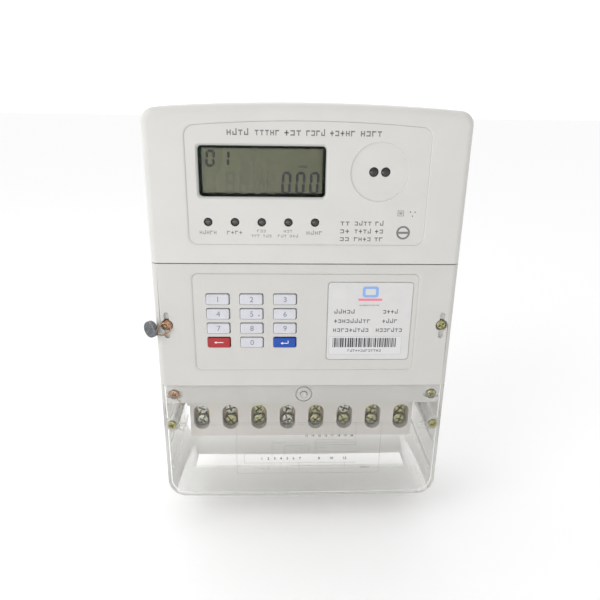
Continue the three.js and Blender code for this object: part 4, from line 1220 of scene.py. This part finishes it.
screwKinds = {
    "clamp": {"head": 8.4 * mm, "thick": 3.0 * mm, "shank": 5.0 * mm, "slot": 1.15 * mm, "cross": 5.0 * mm,
              "deep": 1.5 * mm, "dome": 0.7 * mm, "combined": True},
    "cover": {"head": 5.4 * mm, "thick": 2.0 * mm, "shank": 3.6 * mm, "slot": 0.9 * mm, "cross": 3.4 * mm,
              "deep": 1.2 * mm, "dome": 0.5 * mm, "combined": False},
    "keypad": {"head": 5.8 * mm, "thick": 2.0 * mm, "shank": 3.0 * mm, "slot": 0.95 * mm, "cross": 3.8 * mm,
               "deep": 1.2 * mm, "dome": 0.5 * mm, "combined": False},
    "case": {"head": 5.2 * mm, "thick": 2.0 * mm, "shank": 3.0 * mm, "slot": 0.85 * mm, "cross": 3.2 * mm,
             "deep": 1.2 * mm, "dome": 0.5 * mm, "combined": False},
}
threadPitch = 1.0 * mm


def threadedBar(diameter, yStart, yEnd):
    # a bar with rounded ridges along it
    bar = barrel("thread", diameter * 0.86, 0, 0, yStart + threadPitch * 0.3, yStart, 24)
    choose(bar, "FACE", atDepth(yStart + threadPitch * 0.3))
    turns = int((yEnd - yStart) / threadPitch) - 1
    for _ in range(turns):
        for step, factor in ((0.3, 1 / 0.86), (0.2, 1.0), (0.3, 0.86), (0.2, 1.0)):
            bpy.ops.mesh.extrude_region_move(TRANSFORM_OT_translate={"value": (0, threadPitch * step, 0)})
            if factor != 1.0:
                bpy.ops.transform.resize(value=(factor, 1, factor), center_override=(0, 0, 0))
    bpy.ops.mesh.extrude_region_move(TRANSFORM_OT_translate={"value": (0, threadPitch * 0.5, 0)})
    bpy.ops.transform.resize(value=(0.6, 1, 0.6), center_override=(0, 0, 0))
    leaveEdit()
    return bar


def makeScrew(kind, length):
    # head face at the origin, looking forward
    k = screwKinds[kind]
    head = barrel("screw", k["head"], 0, 0, k["thick"], k["dome"], 48)
    choose(head, "FACE", atDepth(k["dome"]))
    for share, rise in ((0.07, 0.45), (0.12, 0.3), (0.2, 0.18), (0.25, 0.07)):
        bpy.ops.mesh.inset(thickness=k["head"] / 2 * share, depth=k["dome"] * rise)
    leaveEdit()
    weld(head, threadedBar(k["shank"], k["thick"] - 0.3 * mm, length))
    half, arm, deep = k["slot"] / 2, k["cross"] / 2, k["deep"]
    if k["combined"]:
        carve(head, block("slot", (-k["head"], -mm, -half), (k["head"], deep * 0.7, half)))
    carve(head, block("armAcross", (-arm, -mm, -half), (arm, deep, half)))
    carve(head, block("armUp", (-half, -mm, -arm), (half, deep, arm)))
    return soften(head, 0.09 * mm)


def placeScrew(model, node, turn, look, slotName, body="case"):
    x, z = middleOf(node)
    low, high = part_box(node)
    screw = duplicate(model, node + "_driven", (x, low.y, z), turn)
    stand(dress(screw, look), body, slotName, node)


def placeScrews():
    draw = random.Random(4)
    clampNodes = ["terminal_screw_%d_%s" % (n, end) for n in range(1, 9) for end in ("upper", "lower")]
    groups = [
        ("clamp", clampNodes, "case"),
        ("cover", ["terminal_cover_screw_left", "terminal_cover_screw_right"], "terminal_cover"),
        ("keypad", ["keypad_cover_screw_left", "keypad_cover_screw_right"], "case"),
        ("case", ["case_screw_left", "case_screw_right"], "case"),
    ]
    for kind, nodes, body in groups:
        low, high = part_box(nodes[0])
        model = makeScrew(kind, high.y - low.y)
        for node in nodes:
            coppery = node in ("keypad_cover_screw_left", "case_screw_left")
            pale = kind == "clamp" and draw.random() < 0.4
            look = copperLook if coppery else silverLook if pale else zincLook
            slotName = "copper_screw" if coppery else "zinc_screw"
            placeScrew(model, node, draw.uniform(-1.5, 1.5), look, slotName, body)
        bpy.data.objects.remove(model)


placeScrews()
print("screws made")


# clear terminal cover

clearCover = {
    "wall": 2 * mm, "edge": 0.25 * mm, "headBoss": 9.6 * mm, "headBossEnd": front + 7 * mm, "boss": 8 * mm,
    "bossEnd": front + 30 * mm, "headHole": 7.6 * mm, "headHoleEnd": front + 2.7 * mm, "shankHole": 4.2 * mm,
    "cableSlot": (75 * mm, front + 33 * mm, front + 49 * mm), "ribs": (-83.9 * mm, -103.9 * mm),
    "ribHeight": 1.6 * mm, "ribReach": 1.8 * mm, "sealEye": (6.4 * mm, 4.6 * mm, 1.2 * mm, 1.2 * mm),
    "eyeInset": 7.0 * mm, "pip": 3 * mm, "pipEnd": bandFace - 1.7 * mm,
}


def makeClearCover():
    c = clearCover
    thick = c["wall"]
    cover = bodyPart("clear_cover", 0, bodyBottom, clearHigh.z, clearHigh.y, front, lowEnd=True)
    carve(cover, bodyPart("clearInside", thick, bodyBottom + thick, clearHigh.z + past, clearHigh.y + past,
                          front + thick, lowEnd=True))
    for side, (x, z) in zip((-1, 1), coverScrews):
        weld(cover, barrel("headBoss", c["headBoss"], x, z, c["headBossEnd"], front + thick - 0.3 * mm, 40))
        weld(cover, barrel("boss", c["boss"], x, z, c["bossEnd"], front + thick - 0.2 * mm, 40))
        wide, high, proud, rim = c["sealEye"]
        weld(cover, slotShape("sealEye", x - side * c["eyeInset"], z, wide, high,
                              front + 0.5 * mm, front - proud))
        inner = sorted((side * (halfWidth - thick + 0.5 * mm), side * (halfWidth - thick - c["ribReach"])))
        for ribZ in c["ribs"]:
            weld(cover, block("rib", (inner[0], front + thick + 4 * mm, ribZ - c["ribHeight"] / 2),
                              (inner[1], clearHigh.y - 4 * mm, ribZ + c["ribHeight"] / 2)))
    weld(cover, barrel("pip", c["pip"], switchX, switchZ, c["pipEnd"], front + 0.5 * mm, 24))
    half, yNear, yFar = c["cableSlot"]
    carve(cover, block("cableSlot", (-half, yNear, bodyBottom - past),
                       (half, yFar, bodyBottom + mm + 2 * thick)))
    wide, high, proud, rim = c["sealEye"]
    eyes = [slotShape("eyeHole", x - side * c["eyeInset"], z, wide - 2 * rim, high - 2 * rim, front + past,
                      front - past) for side, (x, z) in zip((-1, 1), coverScrews)]
    carve(cover, *eyes, *[barrel("headHole", c["headHole"], x, z, c["headHoleEnd"], front - past)
                          for x, z in coverScrews])
    carve(cover, *[barrel("shankHole", c["shankHole"], x, z, c["bossEnd"] + past, front)
                   for x, z in coverScrews])
    return soften(cover, c["edge"])


def clearLook():
    # clear polycarbonate with faint flow haze, a slight grey tint and painted shade as extra haze on the
    # bottom wall
    look = Look("clearPolycarbonate", Base_Color=(0.92, 0.92, 0.905), Specular_IOR_Level=0.5)
    flow = look.noise(30 * mm, 3, (1, 1, 2.5))
    scuff = look.noise(6 * mm, 4, (1, 1, 3), 0.7)
    look.feed(Roughness=look.mask(scuff, 0.4, 0.8) * 0.12 + 0.05, Normal=look.bump(flow, 0.02 * mm, 0.4))
    height = look.node("ShaderNodeSeparateXYZ", {}, {"Vector": look.place}, "Z")
    # painted shade: extra haze on the bottom wall greys the floor seen through it, darker towards the bottom
    paintedBottomShade = look.mask(height, bodyBottom + 3 * mm, bodyBottom + 1.8 * mm)
    hazeAndShade = look.mask(flow, 0.35, 0.75) * 0.02 + look.mask(scuff, 0.55, 0.85) * 0.02 + paintedBottomShade * 0.16 + 0.02
    return clearMix(look, (0.998, 0.998, 0.996), 0.0, 1.22, hazeAndShade)


connections = {
    "frame": (-42.7 * mm, 49.7 * mm, -66.5 * mm, -104.5 * mm), "line": 0.16 * mm,
    "upperFigures": range(13, 21), "upperStart": 2.0 * mm, "upperPitch": 4.15 * mm, "upperZ": -76.2 * mm,
    "upperHeight": 1.5 * mm, "pinZ": -73.8 * mm, "pinLength": 2.0 * mm,
    "lowerFigures": (1, 2, 3, 4, 5, 6, 7, 8, 10, 12), "lowerStart": -26.6 * mm, "lowerPitch": 4.1 * mm,
    "lowerLast": (10.4 * mm, 18.6 * mm, 27.2 * mm), "lowerZ": -93.2 * mm, "lowerHeight": 1.9 * mm,
    "dropZ": -99.4 * mm, "dropLength": 5.2 * mm, "bold": 0.02,
    "steps": ((-20, -81.4), (-12, -83.6), (-4.6, -85.4)), "stepFoot": -91 * mm,
    "wires": ((-79.4, 8, 33), (-81.2, 6, 33), (-83.0, 8, 34), (-88.4, -38, 36), (-96.6, -38, 34),
              (-98.8, -10, 40)),
    "posts": ((33.6, -66.5, -83), (8, -79.4, -90), (3.4, -83.0, -88.4), (-7, -69.8, -73.4),
              (-38, -88.4, -96.6)),
}


def makeClearPrint():
    # connection diagram: a frame, steps, two rows of terminal numbers and wires
    d = connections
    y = front
    left, right, top, bottom = d["frame"]
    fine = d["line"]
    marks = [stroke("frame", (left + right) / 2, z, right - left, fine, y) for z in (top, bottom)]
    marks += [stroke("frame", x, (top + bottom) / 2, fine, top - bottom, y) for x in (left, right)]
    figures = []
    for i, number in enumerate(d["upperFigures"]):
        x = d["upperStart"] + i * d["upperPitch"]
        figures.append(lettering("number", str(number), d["upperHeight"], x, y, d["upperZ"], bold=d["bold"]))
        marks.append(stroke("pin", x, d["pinZ"], fine, d["pinLength"], y))
    lowerXs = [d["lowerStart"] + i * d["lowerPitch"] for i in range(7)] + list(d["lowerLast"])
    for i, (number, x) in enumerate(zip(d["lowerFigures"], lowerXs)):
        figures.append(lettering("number", str(number), d["lowerHeight"], x, y, d["lowerZ"], bold=d["bold"]))
        shorter = i % 3
        marks.append(stroke("drop", x, d["dropZ"] - shorter * 0.9 * mm, fine,
                            d["dropLength"] - shorter * 1.8 * mm, y))
    for i, (x, z) in enumerate(mmPairs(d["steps"])):
        marks.append(stroke("rise", x, (z + d["stepFoot"]) / 2, fine, z - d["stepFoot"], y))
        marks.append(stroke("run", x + 4.5 * mm + i * 3 * mm, z, 9 * mm + i * 5 * mm, fine, y))
    for z, x0, x1 in d["wires"]:
        marks.append(stroke("wire", (x0 + x1) / 2 * mm, z * mm, (x1 - x0) * mm, fine, y))
    for x, z0, z1 in d["posts"]:
        marks.append(stroke("post", x * mm, (z0 + z1) / 2 * mm, fine, abs(z0 - z1) * mm, y))
    figures.append(stroke("tag", -9.4 * mm, -69.8 * mm, 4.6 * mm, 0.3 * mm, y))
    figures.append(wordMarks("load", [(37.8 * mm, 43.8 * mm)], -100.4 * mm, 1.3 * mm, y, 90))
    wires = dress(together(marks), inkLook("diagramInk", (0.30, 0.30, 0.30)))
    wires.name = "connection_diagram"
    numbering = dress(together(figures), blackInk)
    numbering.name = "diagram_numbers"
    return wires, numbering


stand(dress(makeClearCover(), clearLook()), "terminal_cover", "clear_plastic", "terminal_cover")
for printed in makeClearPrint():
    stand(printed, "terminal_cover", "clear_plastic")
print("clear cover made")


# cover switch

def makeSwitchButton():
    low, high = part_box("cover_switch_button")
    stem = domed("switch_button", 4 * mm, switchX, switchZ, high.y, low.y + 0.3 * mm, 0.3 * mm)
    weld(stem, barrel("switchFlange", high.x - low.x, switchX, switchZ, bandFace + wall + 1.3 * mm,
                      bandFace + wall + 0.3 * mm))
    return soften(stem, 0.12 * mm)


buttonLook = mouldedLook("buttonMoulding", (0.70, 0.70, 0.68), 0.4)
stand(dress(makeSwitchButton(), buttonLook), "cover_switch_button", "button_plastic", "cover_switch_button")


# hanging hook

def makeHook():
    low, high = hookLow, hookHigh
    holeZ = high.z - 15 * mm
    plate = roundedPlate("hanging_hook_plate", low, high, 2 * mm, 6)
    carve(plate, barrel("hole", 6 * mm, 0, holeZ, past, -past, 40))
    carve(plate, slotShape("neck", 0, holeZ + 3.5 * mm, 3.4 * mm, 7 * mm, past, -past))
    return soften(plate, 0.2 * mm)


stand(dress(makeHook(), mouldedLook("hookMoulding", (0.55, 0.55, 0.53), 0.5)), "hanging_hook",
      "base_plastic", "hanging_hook")
print("switch and hook made")


# lead seal and wires

seal = {
    "turn": 40, "grooves": 5, "pitch": 1.5 * mm, "grooveWidth": 0.55 * mm, "grooveDepth": 0.4 * mm,
    "wire": 0.85 * mm,
}


def wirePiece(name, points, diameter):
    bpy.ops.object.select_all(action="DESELECT")
    bpy.ops.curve.primitive_bezier_curve_add()
    curve = bpy.context.active_object
    spline = curve.data.splines[0]
    spline.bezier_points.add(len(points) - 2)
    for knot, place in zip(spline.bezier_points, points):
        knot.co = place
        knot.handle_left_type = knot.handle_right_type = "AUTO"
    curve.data.bevel_depth = diameter / 2
    curve.data.bevel_resolution = 4
    curve.data.resolution_u = 8
    curve.data.use_fill_caps = True
    bpy.ops.object.convert(target="MESH")
    piece = settle(name)
    pickAlone(piece)
    bpy.ops.object.shade_smooth_by_angle(angle=math.radians(40))
    return piece


def makeSealDisc():
    low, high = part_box("seal_disc")
    middle = (low + high) / 2
    thick, diameter = 3.5 * mm, 10 * mm
    disc = barrel("lead_seal", diameter, 0, 0, thick / 2, -thick / 2, 56)
    roundEdges(disc, lambda e: atDepth(thick / 2)(e) or atDepth(-thick / 2)(e), 0.9 * mm, 4)
    s = seal
    for turn in (math.radians(45), math.radians(-45)):
        cutters = []
        for face in (-1, 1):
            for i in range(s["grooves"]):
                off = (i - (s["grooves"] - 1) / 2) * s["pitch"]
                ends = sorted((face * (thick / 2 - s["grooveDepth"]), face * thick))
                cutters.append(block("groove", (off - s["grooveWidth"] / 2, ends[0], -diameter),
                                     (off + s["grooveWidth"] / 2, ends[1], diameter)))
        tool = together(cutters)
        tool.data.transform(Matrix.Rotation(turn, 4, "Y"))
        carve(disc, tool)
    soften(disc, 0.12 * mm)
    disc.data.transform(Matrix.Translation(middle) @ Matrix.Rotation(math.radians(-s["turn"]), 4, "Z"))
    return disc


def makeSealWire():
    low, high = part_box("seal_disc")
    middle = (low + high) / 2
    x, z = keypadScrews[0]
    turn = math.radians(seal["turn"])
    start = middle + Vector((5.2 * mm * math.cos(turn), -5.2 * mm * math.sin(turn), 0))
    loop = [(start.x, start.y, start.z + 0.8 * mm), (x - 2.6 * mm, front - 1.4 * mm, z + 1.6 * mm),
            (x, front - 1.3 * mm, z + 1.9 * mm), (x + 2.4 * mm, front - 1.2 * mm, z - 0.6 * mm),
            (x + 0.6 * mm, front - 1.1 * mm, z - 4.4 * mm), (x - 1.4 * mm, front - 1.0 * mm, z - 5.6 * mm),
            (start.x, start.y, start.z - 2.2 * mm)]
    return wirePiece("seal_wire_loop", loop, seal["wire"])


def makeBandWire():
    # copper wire round the left band screw, its tail hanging behind the clear cover
    x, z = caseScrews[0]
    y = bandFace - 0.4 * mm
    ring = [(x + 3.6 * mm * math.cos(a), y, z + 2.9 * mm * math.sin(a))
            for a in (math.radians(d) for d in range(-60, 260, 40))]
    tail = [(x + 3.4 * mm, y - 0.5 * mm, z - 4.6 * mm), (x + 2.6 * mm, y, z - 8.2 * mm),
            (x + 1.0 * mm, y + 2.0 * mm, z - 11 * mm)]
    return wirePiece("band_wire", list(reversed(tail)) + ring, 0.45 * mm)


stand(dress(makeSealDisc(), leadLook), "case", "lead", "seal_disc")
stand(dress(makeSealWire(), copperLook), "case", "seal_copper", "seal_wire")
stand(dress(makeBandWire(), copperLook), "case", "seal_copper")
print("seal made")


# inner parts keep their frame shapes and get finishes

def boardLook():
    look = Look("solderMask", Coat_Weight=0.3, Coat_Roughness=0.15)
    cloud = look.noise(8 * mm, 2)
    tracks = look.noise(1.6 * mm, 1, (1, 1, 3))
    base = look.blend(look.mask(cloud, 0.3, 0.7), (0.02, 0.12, 0.05), (0.03, 0.16, 0.07))
    base = look.blend(look.mask(tracks, 0.52, 0.56) * 0.5, base, (0.06, 0.24, 0.10))
    look.feed(Base_Color=base, Roughness=look.mask(cloud, 0.3, 0.7) * 0.1 + 0.35,
              Normal=look.bump(tracks, 0.02 * mm, 0.5))
    return look.material


def rubberLook():
    look = Look("siliconeRubber", Sheen_Weight=0.2)
    cloud = look.noise(4 * mm, 2)
    grain = look.noise(0.3 * mm, 2)
    look.feed(Base_Color=look.blend(look.mask(cloud, 0.3, 0.7), (0.26, 0.27, 0.28), (0.32, 0.33, 0.34)),
              Roughness=look.mask(grain, 0.3, 0.7) * 0.15 + 0.65, Normal=look.bump(grain, 0.01 * mm, 0.6))
    return look.material


boardFinish = boardLook()
innerFinishes = {
    "main_board": boardFinish, "keypad_board": boardFinish, "keypad_mat": rubberLook(),
    "load_relay": mouldedLook("relayMoulding", (0.035, 0.035, 0.04), 0.45), "neutral_link": brassLook,
}
innerFinishes.update({"phase_clamp_%d" % n: brassLook for n in range(1, 7)})
for node, finish in innerFinishes.items():
    dress(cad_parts[node], finish)
print("inner parts dressed")


# stage, light and camera

studio = {
    "lens": 34.2, "sensor": 36.0, "place": (-15.39 * mm, -390.54 * mm, 129.8 * mm),
    "pitch": 19.972, "turn": -2.189, "roll": 0.844,
    "floorTone": (0.97, 0.97, 0.97), "floorDrop": 20 * mm, "behind": 1.24, "before": 0.70, "leftShare": 0.2,
    "lamps": {"keyLight": (3.1, 0.6, (-0.66, -0.6, 0.56)), "lowFill": (2.6, 0.7, (-0.24, -0.75, -0.3))},
}


def makeStage():
    bpy.ops.object.select_all(action="DESELECT")
    bpy.ops.mesh.primitive_plane_add(size=14, location=(0, 0, bodyBottom - studio["floorDrop"]))
    floor = settle("floor")
    look = Look("floorPaper", Base_Color=studio["floorTone"], Roughness=0.9, Specular_IOR_Level=0.2)
    dress(floor, look.material)


def makeWorld():
    # a white room, brighter behind the meter and on its left
    world = bpy.data.worlds.new("studio")
    bpy.context.scene.world = world
    world.use_nodes = True
    room = Bench(world.node_tree)
    background = world.node_tree.nodes["Background"]
    place = room.node("ShaderNodeTexCoord", {}, {}, "Generated")
    across = room.node("ShaderNodeSeparateXYZ", {}, {"Vector": place}, "X")
    along = room.node("ShaderNodeSeparateXYZ", {}, {"Vector": place}, "Y")
    strength = room.mask(along, -0.35, 0.25, studio["before"], studio["behind"])
    room.plug(background.inputs["Strength"], strength - across * studio["leftShare"])
    room.plug(background.inputs["Color"], (1, 1, 1))


def makeLamp(name, power, size, place, target):
    bpy.ops.object.light_add(type="AREA", location=place)
    lamp = bpy.context.active_object
    lamp.name = name
    lamp.data.size = size
    lamp.data.energy = power
    aim = Vector(target) - Vector(place)
    lamp.rotation_euler = aim.to_track_quat("-Z", "Y").to_euler()


def makeCamera():
    bpy.ops.object.camera_add()
    camera = bpy.context.active_object
    camera.data.lens = studio["lens"]
    camera.data.sensor_width = studio["sensor"]
    camera.data.clip_start = 0.01
    turn = Matrix.Rotation(math.radians(studio["turn"]), 4, "Z")
    pitch = Matrix.Rotation(math.radians(90 - studio["pitch"]), 4, "X")
    roll = Matrix.Rotation(math.radians(studio["roll"]), 4, "Z")
    camera.matrix_world = Matrix.Translation(studio["place"]) @ turn @ pitch @ roll
    bpy.context.scene.camera = camera


makeStage()
makeWorld()
for name, (power, size, place) in studio["lamps"].items():
    makeLamp(name, power, size, place, (0, 0, 0) if name == "keyLight" else (0, -0.05, -0.09))
makeCamera()
bpy.context.scene.view_settings.view_transform = "Standard"
print("stage made")
